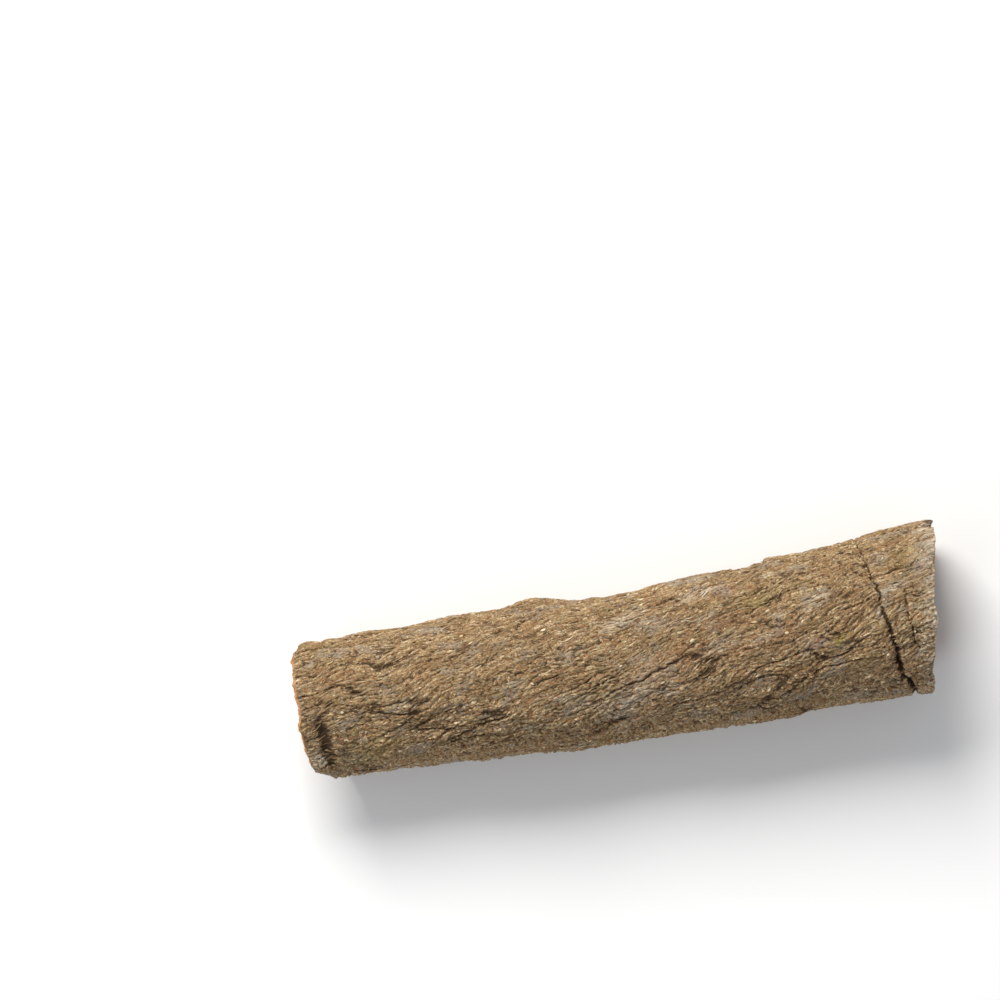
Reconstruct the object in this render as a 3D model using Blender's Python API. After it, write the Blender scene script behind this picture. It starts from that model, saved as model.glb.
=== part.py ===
"""Cinnamon stick: one quill of thick cassia bark, dried into a roll, at its real size.

The bark is a flat sheet that has curled up. Its rough outer face is a closed round back, and
its two long edges turn under and roll inwards to a narrow seam, so the quill lies on the two
rolls that they make. X runs along the quill, from its thin end to its thick end, +Y is the
back of the photographed side and +Z is up. The origin is on the ground, under the middle.
Sizes are in millimetres and angles in degrees, and mesh points are scaled to metres.
"""

import math

import bmesh
import bpy
from mathutils import Vector, noise

MM = 0.001

# Outline seen from above: position along X, radius of the roll, sideways place of its centre
OUTLINE = (
    (-46.0, 9.45, 0.05),
    (-29.0, 9.85, -0.2),
    (-15.0, 10.25, -0.75),
    (-2.5, 10.15, -1.35),
    (13.0, 10.65, -1.1),
    (31.0, 11.1, -0.6),
    (46.0, 11.9, 0.1),
)

# The two cut ends
THIN_END = -45.6
THICK_END = 44.0
THICK_END_SLANT = 1.8
THICK_END_DISH = 0.6
THIN_END_CHIP_FRONT = 5.2
THIN_END_CHIP_BACK = 1.6
CHIP_ANGLES = (35.0, 112.0)
END_RAGGEDNESS = 0.45

# The wall, and how each long edge rolls under: curl radius as a share of the roll's radius,
# the turn where the curl begins, the turn where it is fully tight, and the turn where it ends
WALL = 2.5
WALL_AT_SEAM = 1.9
FRONT_CURL = (0.395, 112.0, 150.0, 286.0)
BACK_CURL = (0.36, 118.0, 152.0, 304.0)
SEAM_WAVE = 11.0
CURL_OPENING = 0.05

# Relief of the outer face
SWELL_DEPTH = 0.34
SWELL_SIZE = (13.0, 6.5)
RIDGE_DEPTH = 0.32
RIDGE_SIZE = (7.0, 2.6)
FIBRE_SLANT = 14.0
RING_PLACE = 37.4
RING_SLANT = -0.213
RING_DEPTH = (0.45, 0.85)
RING_WIDTH = 0.5
SIDE_CRACK_STEP = 3.4
END_FURROWS = ((2.9, 0.62, 0.8), (5.6, 0.45, 1.1))
FURROW_WOBBLE = 1.1
# Knots: place along X, turn from the top, height, length, width
KNOTS = (
    (-10.5, 84.0, 1.1, 3.8, 3.4),
    (22.6, 86.0, 0.45, 1.7, 1.6),
    (-36.0, -40.0, 0.35, 4.0, 4.0),
    (8.0, -150.0, 0.4, 5.0, 3.0),
)

# The flats that the quill has been pressed to lie on, and the bulge of its torn rims
GROUND_PRESS = 0.2
RIM_CROWN = 0.25

# Mesh density
ROW_GAP = 1.72
END_ROW_GAP = 0.95
END_ROWS = 7
RING_ROWS = (-1.2, -0.6, 0.0, 0.6, 1.2, 2.1, 2.9, 3.4, 3.9)
COLUMNS = 42

BARK_COLOUR = (0.245, 0.178, 0.108, 1.0)
BARK_ROUGHNESS = 0.9


def smooth_step(low, high, value):
    """0 below low, 1 above high, and an S curve between them."""
    share = min(1.0, max(0.0, (value - low) / (high - low)))
    return share * share * (3 - 2 * share)


def bump(value, width):
    """1 at 0, falling to nothing over about twice the width."""
    return math.exp(-((value / width) ** 2))


def outline_at(x):
    """(radius, sideways centre) of the roll at x, on a smooth curve through OUTLINE."""
    last = len(OUTLINE) - 1
    after = next((i for i, row in enumerate(OUTLINE) if row[0] > x), last)
    after = max(after, 1)
    before = after - 1
    share = (x - OUTLINE[before][0]) / (OUTLINE[after][0] - OUTLINE[before][0])
    values = []
    for part in (1, 2):
        start = OUTLINE[before][part]
        end = OUTLINE[after][part]
        start_slope = (end - OUTLINE[max(before - 1, 0)][part]) / 2
        end_slope = (OUTLINE[min(after + 1, last)][part] - start) / 2
        squared = share * share
        cubed = squared * share
        values.append(
            (2 * cubed - 3 * squared + 1) * start
            + (cubed - 2 * squared + share) * start_slope
            + (3 * squared - 2 * cubed) * end
            + (cubed - squared) * end_slope
        )
    return tuple(values)


def curl_of(side, x):
    """(curl radius share, begin, tight, end) of the long edge on a side, at x."""
    share, begin, tight, end = BACK_CURL if side > 0 else FRONT_CURL
    wave = noise.noise(Vector((x / 11.0, 3.7 * side, 0.0)))
    looser = 1 + CURL_OPENING * noise.noise(Vector((x / 24.0, 9.1 * side, 4.0)))
    return share * looser, begin, tight, end + SEAM_WAVE * 2 * wave


def arc_step(radius, start, end):
    """Sideways and downward travel along an arc that turns from start to end degrees."""
    a, b = math.radians(start), math.radians(end)
    return radius * (math.sin(b) - math.sin(a)), radius * (math.cos(a) - math.cos(b))


def ramp_step(first, slope, start, end):
    """Travel along a curve whose radius changes evenly, by slope a radian, from first."""
    a, b = math.radians(start), math.radians(end)

    def sideways(angle):
        return (first + slope * (angle - a)) * math.sin(angle) + slope * math.cos(angle)

    def down(angle):
        return slope * math.sin(angle) - (first + slope * (angle - a)) * math.cos(angle)

    return sideways(b) - sideways(a), down(b) - down(a)


def half_section(radius, curl, turn):
    """Sideways and downward travel from the top of the roll to where its face has turned."""
    share, begin, tight, _ = curl
    small = radius * share
    slope = (small - radius) / math.radians(tight - begin)
    steps = [arc_step(radius, 0.0, min(turn, begin))]
    if turn > begin:
        steps.append(ramp_step(radius, slope, begin, min(turn, tight)))
    if turn > tight:
        steps.append(arc_step(small, tight, turn))
    return sum(step[0] for step in steps), sum(step[1] for step in steps)


def height_at(x):
    """Height of the roll's top at x, from the mean drop of its two sides to the ground."""
    radius, _ = outline_at(x)
    drops = [half_section(radius, curl_of(side, x), 180.0)[1] for side in (-1, 1)]
    return sum(drops) / 2


def turn_at(across, x):
    """Degrees that the sheet has turned from the top, at a place across it from -1 to 1."""
    side = 1 if across >= 0 else -1
    _, begin, _, end = curl_of(side, x)
    share = abs(across)
    if share < 0.5:
        return side * begin * share * 2
    return side * (begin + (end - begin) * (share - 0.5) * 2)


def girth_at(x, turn):
    """Distance round the outer face from the top, for patterns that follow the sheet."""
    radius, _ = outline_at(x)
    side = 1 if turn >= 0 else -1
    share, begin, tight, _ = curl_of(side, x)
    angle = abs(turn)
    main = radius * math.radians(min(angle, begin))
    ramp = math.radians(max(0.0, min(angle, tight) - begin))
    curl = math.radians(max(0.0, angle - tight))
    return side * (main + radius * (ramp * (1 + share) / 2 + curl * share))


def thin_end_at(turn):
    """X of the thin end's rim at a turn: it is chipped back below both shoulders."""
    chip = THIN_END_CHIP_BACK if turn > 0 else THIN_END_CHIP_FRONT
    ragged = END_RAGGEDNESS * noise.fractal(Vector((turn / 34.0, 2.0, 7.0)), 0.6, 2.0, 3)
    return THIN_END + chip * smooth_step(*CHIP_ANGLES, abs(turn)) + ragged


def thick_end_at(turn, sideways):
    """X of the thick end's rim at a turn: the cut is slanted across the quill."""
    ragged = END_RAGGEDNESS * noise.fractal(Vector((turn / 30.0, 5.0, 1.0)), 0.6, 2.0, 3)
    slanted = THICK_END + THICK_END_SLANT * sideways / OUTLINE[-1][1]
    return slanted + ragged - THICK_END_DISH * bump(turn, 65.0)


def relief_at(x, turn, sideways):
    """Height of the bark's relief above its mean outer face."""
    girth = girth_at(x, turn)
    slant = math.radians(FIBRE_SLANT)
    with_fibre = x * math.cos(slant) + girth * math.sin(slant)
    over_fibre = girth * math.cos(slant) - x * math.sin(slant)
    swell = noise.fractal(
        Vector((x / SWELL_SIZE[0], girth / SWELL_SIZE[1], 0.5)), 0.8, 2.0, 2
    )
    ridge = noise.fractal(
        Vector((with_fibre / RIDGE_SIZE[0], over_fibre / RIDGE_SIZE[1], 8.5)), 0.7, 2.1, 2
    )
    relief = SWELL_DEPTH * swell + RIDGE_DEPTH * ridge
    for place, knot_turn, height, length, width in KNOTS:
        aside = girth - girth_at(place, knot_turn)
        relief += height * bump(x - place, length) * bump(aside, width)
    return relief - end_furrows(x, turn) - ring_groove(x, sideways)


def end_furrows(x, turn):
    """Depth of the wrinkles that run round the thin end, deep in some places and lost in others."""
    inset = x - thin_end_at(turn)
    total = 0.0
    for place, depth, width in END_FURROWS:
        wobble = FURROW_WOBBLE * noise.noise(Vector((turn / 30.0, place, 21.0)))
        share = 0.55 + 0.9 * noise.noise(Vector((turn / 45.0, place, 33.0)))
        total += depth * max(0.0, share) * bump(inset - place - wobble, width)
    return total


def ring_groove(x, sideways):
    """Depth of the knife ring near the thick end, and of the short crack beside it."""
    away = x - RING_PLACE - RING_SLANT * sideways
    front = 1 - smooth_step(-8.0, 6.0, sideways)
    depth = RING_DEPTH[0] + (RING_DEPTH[1] - RING_DEPTH[0]) * front
    beside = bump(sideways + 1.5, 4.0) * RING_DEPTH[0]
    return depth * bump(away, RING_WIDTH) + beside * bump(away - SIDE_CRACK_STEP, RING_WIDTH)


def curl_damping(turn):
    """Share of the relief that is left where the edges roll under and nearly touch."""
    return 1 - 0.75 * smooth_step(150.0, 235.0, abs(turn))


def wall_at(x, turn):
    """Thickness of the bark at a place on the sheet."""
    thinner = smooth_step(150.0, 270.0, abs(turn))
    uneven = 0.22 * noise.noise(Vector((x / 9.0, turn / 40.0, 12.0)))
    return WALL + (WALL_AT_SEAM - WALL) * thinner + uneven


def place_along(row, turn, sideways):
    """X of a mesh row at a turn: the rows follow both rims and the knife ring."""
    ring = RING_PLACE + RING_SLANT * sideways
    if row < RING_PLACE:
        start = thin_end_at(turn)
        return start + (ring - start) * (row - THIN_END) / (RING_PLACE - THIN_END)
    end = thick_end_at(turn, sideways)
    return ring + (end - ring) * (row - RING_PLACE) / (THICK_END - RING_PLACE)


def sheet_point(row, across, depth):
    """A point of the rolled sheet, in millimetres. Depth is 0 on the outer face, 1 inside."""
    turn = turn_at(across, row)
    side = 1 if turn >= 0 else -1
    sideways = half_section(outline_at(row)[0], curl_of(side, row), abs(turn))[0]
    x = place_along(row, turn, side * sideways)

    radius, centre = outline_at(x)
    curl = curl_of(side, x)
    sideways, drop = half_section(radius, curl, abs(turn))
    squash = height_at(x) / half_section(radius, curl, 180.0)[1]
    angle = math.radians(turn)
    outward = Vector((0.0, math.sin(angle), math.cos(angle)))
    relief = relief_at(x, turn, side * sideways) * curl_damping(turn)
    lift = relief - depth * (wall_at(x, turn) + relief * 0.75)
    point = Vector((x, centre + side * sideways, height_at(x) - drop * squash)) + outward * lift
    point.z = max(point.z - GROUND_PRESS, 0.0)
    return point


def row_places():
    """Places of the mesh rows along the quill, closer at the thin end and the knife ring."""
    end = [THIN_END + END_ROW_GAP * step for step in range(END_ROWS)]
    ring = [RING_PLACE + step for step in RING_ROWS]
    start = end[-1] + ROW_GAP
    count = round((ring[0] - start) / ROW_GAP)
    middle = [start + (ring[0] - start) * step / count for step in range(count)]
    last_gap = THICK_END - ring[-1]
    last = [ring[-1] + last_gap * share for share in (0.5, 1.0)]
    return end + middle + ring + last


def roll_bark():
    """The quill as one closed mesh: a flat sheet, rolled up, with its wall extruded outwards."""
    mesh = bmesh.new()
    row = mesh.verts.layers.float.new("row")
    across = mesh.verts.layers.float.new("across")
    places = row_places()
    spans = len(places) - 1
    bmesh.ops.create_grid(mesh, x_segments=spans, y_segments=COLUMNS, size=1.0)
    for vert in mesh.verts:
        vert[row] = places[round((vert.co.x + 1) / 2 * spans)]
        vert[across] = vert.co.y
    inner = list(mesh.verts)
    grown = bmesh.ops.extrude_face_region(mesh, geom=list(mesh.faces))
    outer = [item for item in grown["geom"] if isinstance(item, bmesh.types.BMVert)]
    for verts, depth in ((inner, 1.0), (outer, 0.0)):
        for vert in verts:
            vert.co = sheet_point(vert[row], vert[across], depth)
    crown_rims(mesh, set(inner), row, across)
    for vert in mesh.verts:
        vert.co *= MM
    bmesh.ops.recalc_face_normals(mesh, faces=list(mesh.faces))
    return mesh


def crown_rims(mesh, inner, row, across):
    """Splits the faces of the wall's rim in two and bulges them, as torn bark stands."""
    rungs = [
        edge
        for edge in mesh.edges
        if (edge.verts[0] in inner) != (edge.verts[1] in inner)
    ]
    split = bmesh.ops.subdivide_edges(mesh, edges=rungs, cuts=1)
    middles = [item for item in split["geom_inner"] if isinstance(item, bmesh.types.BMVert)]
    for vert in middles:
        place, sheet = vert[row], vert[across]
        vert.co = sheet_point(place, sheet, 0.5)
        crown = RIM_CROWN * (1 + 0.8 * noise.noise(vert.co / 2.0))
        if abs(sheet) > 0.999:
            back = vert.co - sheet_point(place, sheet * 0.98, 0.5)
            vert.co += back.normalized() * crown
        if place < THIN_END + 0.01:
            vert.co.x -= crown
        elif place > THICK_END - 0.01:
            vert.co.x += crown


def bark_material():
    """Grey-brown bark, dull all over."""
    material = bpy.data.materials.new("cassia_bark")
    material.use_nodes = True
    shader = material.node_tree.nodes["Principled BSDF"]
    shader.inputs["Base Color"].default_value = BARK_COLOUR
    shader.inputs["Roughness"].default_value = BARK_ROUGHNESS
    shader.inputs["Metallic"].default_value = 0.0
    return material


def main():
    """Clears the scene and builds the quill."""
    for old in list(bpy.data.objects):
        bpy.data.objects.remove(old)
    data = bpy.data.meshes.new("bark_quill")
    mesh = roll_bark()
    mesh.to_mesh(data)
    mesh.free()
    data.materials.append(bark_material())
    data.shade_smooth()
    data.set_sharp_from_angle(angle=math.radians(50))
    quill = bpy.data.objects.new("bark_quill", data)
    bpy.context.scene.collection.objects.link(quill)


main()
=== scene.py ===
"""The looks of one cinnamon quill: thick cassia bark, dried into a roll.

The form is the same rolled sheet as the solid's. It is dressed in two layers, a thin corky
skin with its crags, creases and cracks, and the fibrous inner bark that shows at the torn
ends, along the rolled edges and inside the hollow. Loose strands and flakes lie on the cork,
and torn fibres stand out of the ends. X runs from the thin end to the thick end, +Y is the
back of the photographed side and +Z is up. Sizes are in millimetres and turns in degrees.
"""

from __future__ import annotations

import logging
import math
from collections.abc import Callable, Sequence
from dataclasses import dataclass, field
from enum import Enum

import bmesh
import bpy
import numpy as np
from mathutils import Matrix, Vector, noise

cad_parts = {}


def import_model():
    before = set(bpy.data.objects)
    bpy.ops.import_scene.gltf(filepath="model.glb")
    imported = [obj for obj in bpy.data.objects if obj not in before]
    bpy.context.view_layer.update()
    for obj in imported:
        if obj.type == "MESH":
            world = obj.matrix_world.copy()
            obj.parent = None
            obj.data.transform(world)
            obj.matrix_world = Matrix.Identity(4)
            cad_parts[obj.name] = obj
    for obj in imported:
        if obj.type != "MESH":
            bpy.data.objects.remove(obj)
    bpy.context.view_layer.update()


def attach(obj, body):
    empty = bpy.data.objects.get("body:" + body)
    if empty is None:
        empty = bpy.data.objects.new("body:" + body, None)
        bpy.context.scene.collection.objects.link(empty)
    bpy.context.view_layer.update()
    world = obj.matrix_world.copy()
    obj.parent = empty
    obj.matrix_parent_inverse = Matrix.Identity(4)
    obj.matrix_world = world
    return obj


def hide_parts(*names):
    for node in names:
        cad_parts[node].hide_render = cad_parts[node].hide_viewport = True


LOG = logging.getLogger("cinnamon_quill")
MM = 0.001
NODE = "bark_quill"
BODY = "root"

Array = np.ndarray
Colour = tuple[float, float, float, float]

# How far across the sheet, 0 at its middle and 1 at a long edge, the broad back ends
BACK_EDGE = 0.5


def paint(red: float, green: float, blue: float) -> Colour:
    """Turns a colour as it reads on a screen, 0 to 255, into the shader's linear values.

    Args:
        red: Red, 0 to 255.
        green: Green, 0 to 255.
        blue: Blue, 0 to 255.

    Returns:
        Linear red, green, blue and an alpha of 1.
    """
    parts = [part / 255 for part in (red, green, blue)]
    linear = [p / 12.92 if p <= 0.04045 else ((p + 0.055) / 1.055) ** 2.4 for p in parts]
    return (*linear, 1.0)


def smooth_step(low: float, high: float, value: Array) -> Array:
    """0 below low, 1 above high, and an S curve between them.

    Args:
        low: Where the curve leaves 0.
        high: Where it reaches 1.
        value: The values to map.

    Returns:
        The mapped values.
    """
    share = np.clip((value - low) / (high - low), 0.0, 1.0)
    return share * share * (3 - 2 * share)


def rising(values: tuple[float, float], share: Array) -> Array:
    """A start value and what is added to it as a share goes from 0 to 1.

    Args:
        values: The start value, and what is added at a share of 1.
        share: The shares.

    Returns:
        The value at each share.
    """
    start, added = values
    return start + added * share


def bump(value: Array, width: float | Array) -> Array:
    """1 at 0, falling to nothing over about twice the width.

    Args:
        value: Distances from the bump's middle.
        width: The distance at which the bump has fallen to a third.

    Returns:
        The bump's height, 0 to 1.
    """
    return np.exp(-((value / width) ** 2))


def perlin(x: Array, y: Array | float, z: Array | float) -> Array:
    """Perlin noise at many points.

    Args:
        x: First coordinates.
        y: Second coordinates.
        z: Third coordinates, or one number that picks the pattern.

    Returns:
        The noise, about -0.8 to 0.8, at each point.
    """
    parts = (np.broadcast_to(part, np.shape(x)).tolist() for part in (x, y, z))
    return np.array([noise.noise(spot) for spot in zip(*parts)])


def fractal(
    x: Array, y: Array | float, z: float, roughness: tuple[float, float, int]
) -> Array:
    """Perlin noise in several octaves, at many points.

    Args:
        x: First coordinates.
        y: Second coordinates.
        z: A number that picks the pattern.
        roughness: How fast octaves fade, how much finer each is, and how many there are.

    Returns:
        The noise at each point.
    """
    parts = (np.broadcast_to(part, np.shape(x)).tolist() for part in (x, y, z))
    return np.array([noise.fractal(spot, *roughness) for spot in zip(*parts)])


@dataclass(frozen=True)
class Grain:
    """A noise pattern: the size of its features each way, which pattern it is, and its
    height."""

    length: float
    width: float
    pattern: float
    height: float = 1.0

    def at(self, first: Array, second: Array | float) -> Array:
        """The pattern at many places.

        Args:
            first: Coordinates along the length.
            second: Coordinates along the width, or one number that picks a line.

        Returns:
            The pattern there, about -0.8 to 0.8 times its height.
        """
        return self.height * perlin(first / self.length, second / self.width, self.pattern)


@dataclass(frozen=True)
class Curl:
    """How one long edge of the sheet rolls under: its radius as a share of the roll's, and
    the turns where the curl begins, is fully tight, and ends."""

    share: float
    begin: float
    tight: float
    end: float


@dataclass(frozen=True)
class Knot:
    """A swelling of the bark: its place along X, its turn, and its size."""

    place: float
    turn: float
    height: float
    length: float
    width: float


@dataclass(frozen=True)
class CurlValues:
    """The curl at many places along the quill, one value for each, with turns in radians."""

    share: Array
    begin: Array
    tight: Array
    end: Array


@dataclass(frozen=True)
class Places:
    """Many places on the roll's outer face.

    mean holds points on the smooth outer face, outward the face's direction there, and relief
    the height of its larger swells and grooves. inset is the distance in from the thin rim,
    and outset the distance to the thick one.
    """

    x: Array
    turn: Array
    sideways: Array
    girth: Array
    inset: Array
    outset: Array
    mean: Array
    outward: Array
    relief: Array
    wall: Array

    def lifted(self, height: Array, press: float, ground: Array | float = 0.0) -> Array:
        """Points at a height above the smooth outer face, kept above the ground.

        Args:
            height: Heights in millimetres, one for each place.
            press: How far the quill is pressed down onto its flats.
            ground: How low the points may come, so that layers stay apart in the flats.

        Returns:
            Points in metres, one row for each place.
        """
        points = self.mean + self.outward * height[:, None]
        points[:, 2] = np.maximum(points[:, 2] - press, ground)
        return points * MM


@dataclass(frozen=True)
class RolledSheet:
    """The form of the quill: a flat sheet, rolled so that both long edges turn inwards."""

    outline: tuple[tuple[float, float, float], ...] = (
        (-46.0, 9.45, 0.05),
        (-29.0, 9.85, -0.2),
        (-15.0, 10.25, -0.75),
        (-2.5, 10.15, -1.35),
        (13.0, 10.65, -1.1),
        (31.0, 11.1, -0.6),
        (46.0, 11.9, 0.1),
    )
    thin_end: float = -45.6
    thick_end: float = 44.2
    thick_end_slant: float = 1.8
    thick_end_dish: float = 0.3
    chip_front: float = 4.1
    chip_back: float = 1.6
    chip_angles: tuple[float, float] = (46.0, 112.0)
    dish_width: float = 65.0
    raggedness: float = 0.45
    rag_angles: tuple[float, float] = (34.0, 30.0)
    rag_octaves: tuple[float, float, int] = (0.6, 2.0, 3)
    wall: float = 2.5
    wall_at_seam: float = 1.9
    thin_wall_angles: tuple[float, float] = (150.0, 270.0)
    wall_grain: Grain = Grain(9.0, 40.0, 12.0, 0.22)
    front_curl: Curl = Curl(0.395, 112.0, 150.0, 286.0)
    back_curl: Curl = Curl(0.36, 118.0, 152.0, 304.0)
    seam_wave: Grain = Grain(11.0, 1.0, 0.0, 22.0)
    seam_lines: tuple[float, float] = (-3.7, 3.7)
    curl_opening: Grain = Grain(24.0, 1.0, 4.0, 0.05)
    opening_lines: tuple[float, float] = (-9.1, 9.1)
    back_girth: float = 21.0
    roll_girth: float = 14.5
    swell_depth: float = 0.34
    swell_size: tuple[float, float] = (13.0, 6.5)
    swell_octaves: tuple[float, float, int] = (0.8, 2.0, 2)
    ridge_depth: float = 0.32
    ridge_size: tuple[float, float] = (7.0, 2.6)
    ridge_octaves: tuple[float, float, int] = (0.7, 2.1, 2)
    calm_share: float = 0.75
    calm_angles: tuple[float, float] = (150.0, 235.0)
    fibre_slant: float = 14.0
    ring_place: float = 37.4
    ring_slant: float = -0.213
    end_furrows: tuple[tuple[float, float, float], ...] = ((2.9, 0.62, 0.8), (5.6, 0.45, 1.1))
    furrow_wobble: Grain = Grain(30.0, 1.0, 21.0, 1.1)
    furrow_depth: float = 0.55
    furrow_fade: Grain = Grain(45.0, 1.0, 33.0, 0.9)
    knots: tuple[Knot, ...] = (
        Knot(-10.5, 84.0, 1.1, 3.8, 3.4),
        Knot(22.6, 86.0, 0.45, 1.7, 1.6),
        Knot(-36.0, -40.0, 0.35, 4.0, 4.0),
        Knot(8.0, -150.0, 0.4, 5.0, 3.0),
    )
    press: float = 0.2

    def outline_at(self, x: Array) -> tuple[Array, Array]:
        """Radius of the roll and sideways place of its centre.

        Args:
            x: Places along the quill.

        Returns:
            The radii, and the centres' places along Y.
        """
        stations = np.array(self.outline)
        last = len(stations) - 1
        after = np.clip(np.searchsorted(stations[:, 0], x, side="right"), 1, last)
        before = after - 1
        share = (x - stations[before, 0]) / (stations[after, 0] - stations[before, 0])
        squared, cubed = share**2, share**3
        found = []
        for part in (1, 2):
            values = stations[:, part]
            start, end = values[before], values[after]
            start_slope = (end - values[np.maximum(before - 1, 0)]) / 2
            end_slope = (values[np.minimum(after + 1, last)] - start) / 2
            found.append(
                (2 * cubed - 3 * squared + 1) * start
                + (cubed - 2 * squared + share) * start_slope
                + (3 * squared - 2 * cubed) * end
                + (cubed - squared) * end_slope
            )
        return found[0], found[1]

    def curls(self, x: Array) -> tuple[CurlValues, CurlValues]:
        """The curls of the front and the back long edge.

        Args:
            x: Places along the quill.

        Returns:
            The front edge's curl, then the back edge's.
        """
        found = []
        for curl, seam_line, opening_line in zip(
            (self.front_curl, self.back_curl), self.seam_lines, self.opening_lines
        ):
            looser = 1 + self.curl_opening.at(x, opening_line)
            found.append(
                CurlValues(
                    curl.share * looser,
                    np.full_like(x, math.radians(curl.begin)),
                    np.full_like(x, math.radians(curl.tight)),
                    np.radians(curl.end + self.seam_wave.at(x, seam_line)),
                )
            )
        return found[0], found[1]

    @staticmethod
    def travel(radius: Array, curl: CurlValues, turn: Array) -> tuple[Array, Array]:
        """Travel round one side of the section, from its top.

        Args:
            radius: The roll's radius.
            curl: The curl of that side's long edge.
            turn: How far the face has turned from the top, in radians, 0 or more.

        Returns:
            The sideways travel and the downward travel.
        """
        small = radius * curl.share
        slope = (small - radius) / (curl.tight - curl.begin)
        first = np.minimum(turn, curl.begin)
        sideways = radius * np.sin(first)
        drop = radius * (1 - np.cos(first))
        middle = np.clip(turn, curl.begin, curl.tight)
        bent = radius + slope * (middle - curl.begin)
        sideways += bent * np.sin(middle) + slope * np.cos(middle)
        sideways -= radius * np.sin(curl.begin) + slope * np.cos(curl.begin)
        drop += slope * np.sin(middle) - bent * np.cos(middle)
        drop -= slope * np.sin(curl.begin) - radius * np.cos(curl.begin)
        last = np.maximum(turn, curl.tight)
        sideways += small * (np.sin(last) - np.sin(curl.tight))
        drop += small * (np.cos(curl.tight) - np.cos(last))
        return sideways, drop

    def turn_at(self, row: Array, across: Array) -> Array:
        """Signed turn in radians at a place across the sheet.

        Args:
            row: Places along the quill.
            across: Places across the sheet, -1 to 1.

        Returns:
            The turn from the top, negative towards the front edge.
        """
        front, back = self.curls(row)
        begin = np.where(across < 0, front.begin, back.begin)
        end = np.where(across < 0, front.end, back.end)
        share = np.abs(across)
        turn = np.where(
            share < BACK_EDGE,
            begin * share / BACK_EDGE,
            begin + (end - begin) * (share - BACK_EDGE) / (1 - BACK_EDGE),
        )
        return np.sign(across) * turn

    def columns(self, gap: float, roll_gap: float) -> Array:
        """Places across the sheet for the columns of a grid.

        Args:
            gap: The gap between columns on the broad back.
            roll_gap: The gap on the rolled edges.

        Returns:
            The places, -1 to 1.
        """
        half = spread(0.0, BACK_EDGE, BACK_EDGE * gap / self.back_girth)
        half += spread(BACK_EDGE, 1.0, (1 - BACK_EDGE) * roll_gap / self.roll_girth)
        ends = np.array(half + [1.0])
        return np.concatenate([-ends[:0:-1], ends])

    def to_seam(self, across: Array) -> Array:
        """Distance from the nearer long edge, true on the rolled edges.

        Args:
            across: Places across the sheet, -1 to 1.

        Returns:
            The distances.
        """
        return (1 - np.abs(across)) / (1 - BACK_EDGE) * self.roll_girth

    def thin_rim(self, turn: Array) -> Array:
        """X of the thin end's rim, which is chipped back below both shoulders.

        Args:
            turn: Signed turns in degrees.

        Returns:
            The rim's place along X.
        """
        chip = np.where(turn > 0, self.chip_back, self.chip_front)
        ragged = self.raggedness * fractal(
            turn / self.rag_angles[0], 2.0, 7.0, self.rag_octaves
        )
        return self.thin_end + chip * smooth_step(*self.chip_angles, np.abs(turn)) + ragged

    def thick_rim(self, turn: Array, sideways: Array) -> Array:
        """X of the thick end's rim, which is cut at a slant.

        Args:
            turn: Signed turns in degrees.
            sideways: Distances from the roll's centre along Y.

        Returns:
            The rim's place along X.
        """
        ragged = self.raggedness * fractal(
            turn / self.rag_angles[1], 5.0, 1.0, self.rag_octaves
        )
        slanted = self.thick_end + self.thick_end_slant * sideways / self.outline[-1][1]
        return slanted + ragged - self.thick_end_dish * bump(turn, self.dish_width)

    def at(self, x: Array, turn: Array) -> Places:
        """Places on the outer face.

        Args:
            x: Places along the quill.
            turn: Signed turns from the top, in radians.

        Returns:
            The places, with the relief that the solid has too.
        """
        side = np.where(turn < 0, -1.0, 1.0)
        radius, centre = self.outline_at(x)
        front, back = self.curls(x)
        half_turn = np.full_like(x, math.pi)
        drops = [self.travel(radius, curl, half_turn)[1] for curl in (front, back)]
        own = CurlValues(
            *(
                np.where(side < 0, getattr(front, name), getattr(back, name))
                for name in ("share", "begin", "tight", "end")
            )
        )
        sideways, drop = self.travel(radius, own, np.abs(turn))
        sideways *= side
        top = (drops[0] + drops[1]) / 2
        squash = top / np.where(side < 0, drops[0], drops[1])
        girth = side * self.girth(radius, own, np.abs(turn))
        degrees = np.degrees(turn)
        inset = x - self.thin_rim(degrees)
        relief = self.swells(x, girth) + self.knot_relief(x, girth)
        relief -= self.furrows(inset, degrees)
        relief *= 1 - self.calm_share * smooth_step(*self.calm_angles, np.abs(degrees))
        thinner = smooth_step(*self.thin_wall_angles, np.abs(degrees))
        uneven = self.wall_grain.at(x, degrees)
        return Places(
            x=x,
            turn=turn,
            sideways=sideways,
            girth=girth,
            inset=inset,
            outset=self.thick_rim(degrees, sideways) - x,
            mean=np.stack([x, centre + sideways, top - drop * squash], 1),
            outward=np.stack([np.zeros_like(x), np.sin(turn), np.cos(turn)], 1),
            relief=relief,
            wall=self.wall + (self.wall_at_seam - self.wall) * thinner + uneven,
        )

    @staticmethod
    def girth(radius: Array, curl: CurlValues, turn: Array) -> Array:
        """Distance round the outer face from the top.

        Args:
            radius: The roll's radius.
            curl: The curl of that side's long edge.
            turn: How far the face has turned, in radians, 0 or more.

        Returns:
            The distance, 0 or more.
        """
        ramp = np.clip(turn, curl.begin, curl.tight) - curl.begin
        tight = np.maximum(turn - curl.tight, 0.0)
        main = np.minimum(turn, curl.begin)
        return radius * (main + ramp * (1 + curl.share) / 2 + tight * curl.share)

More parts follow.
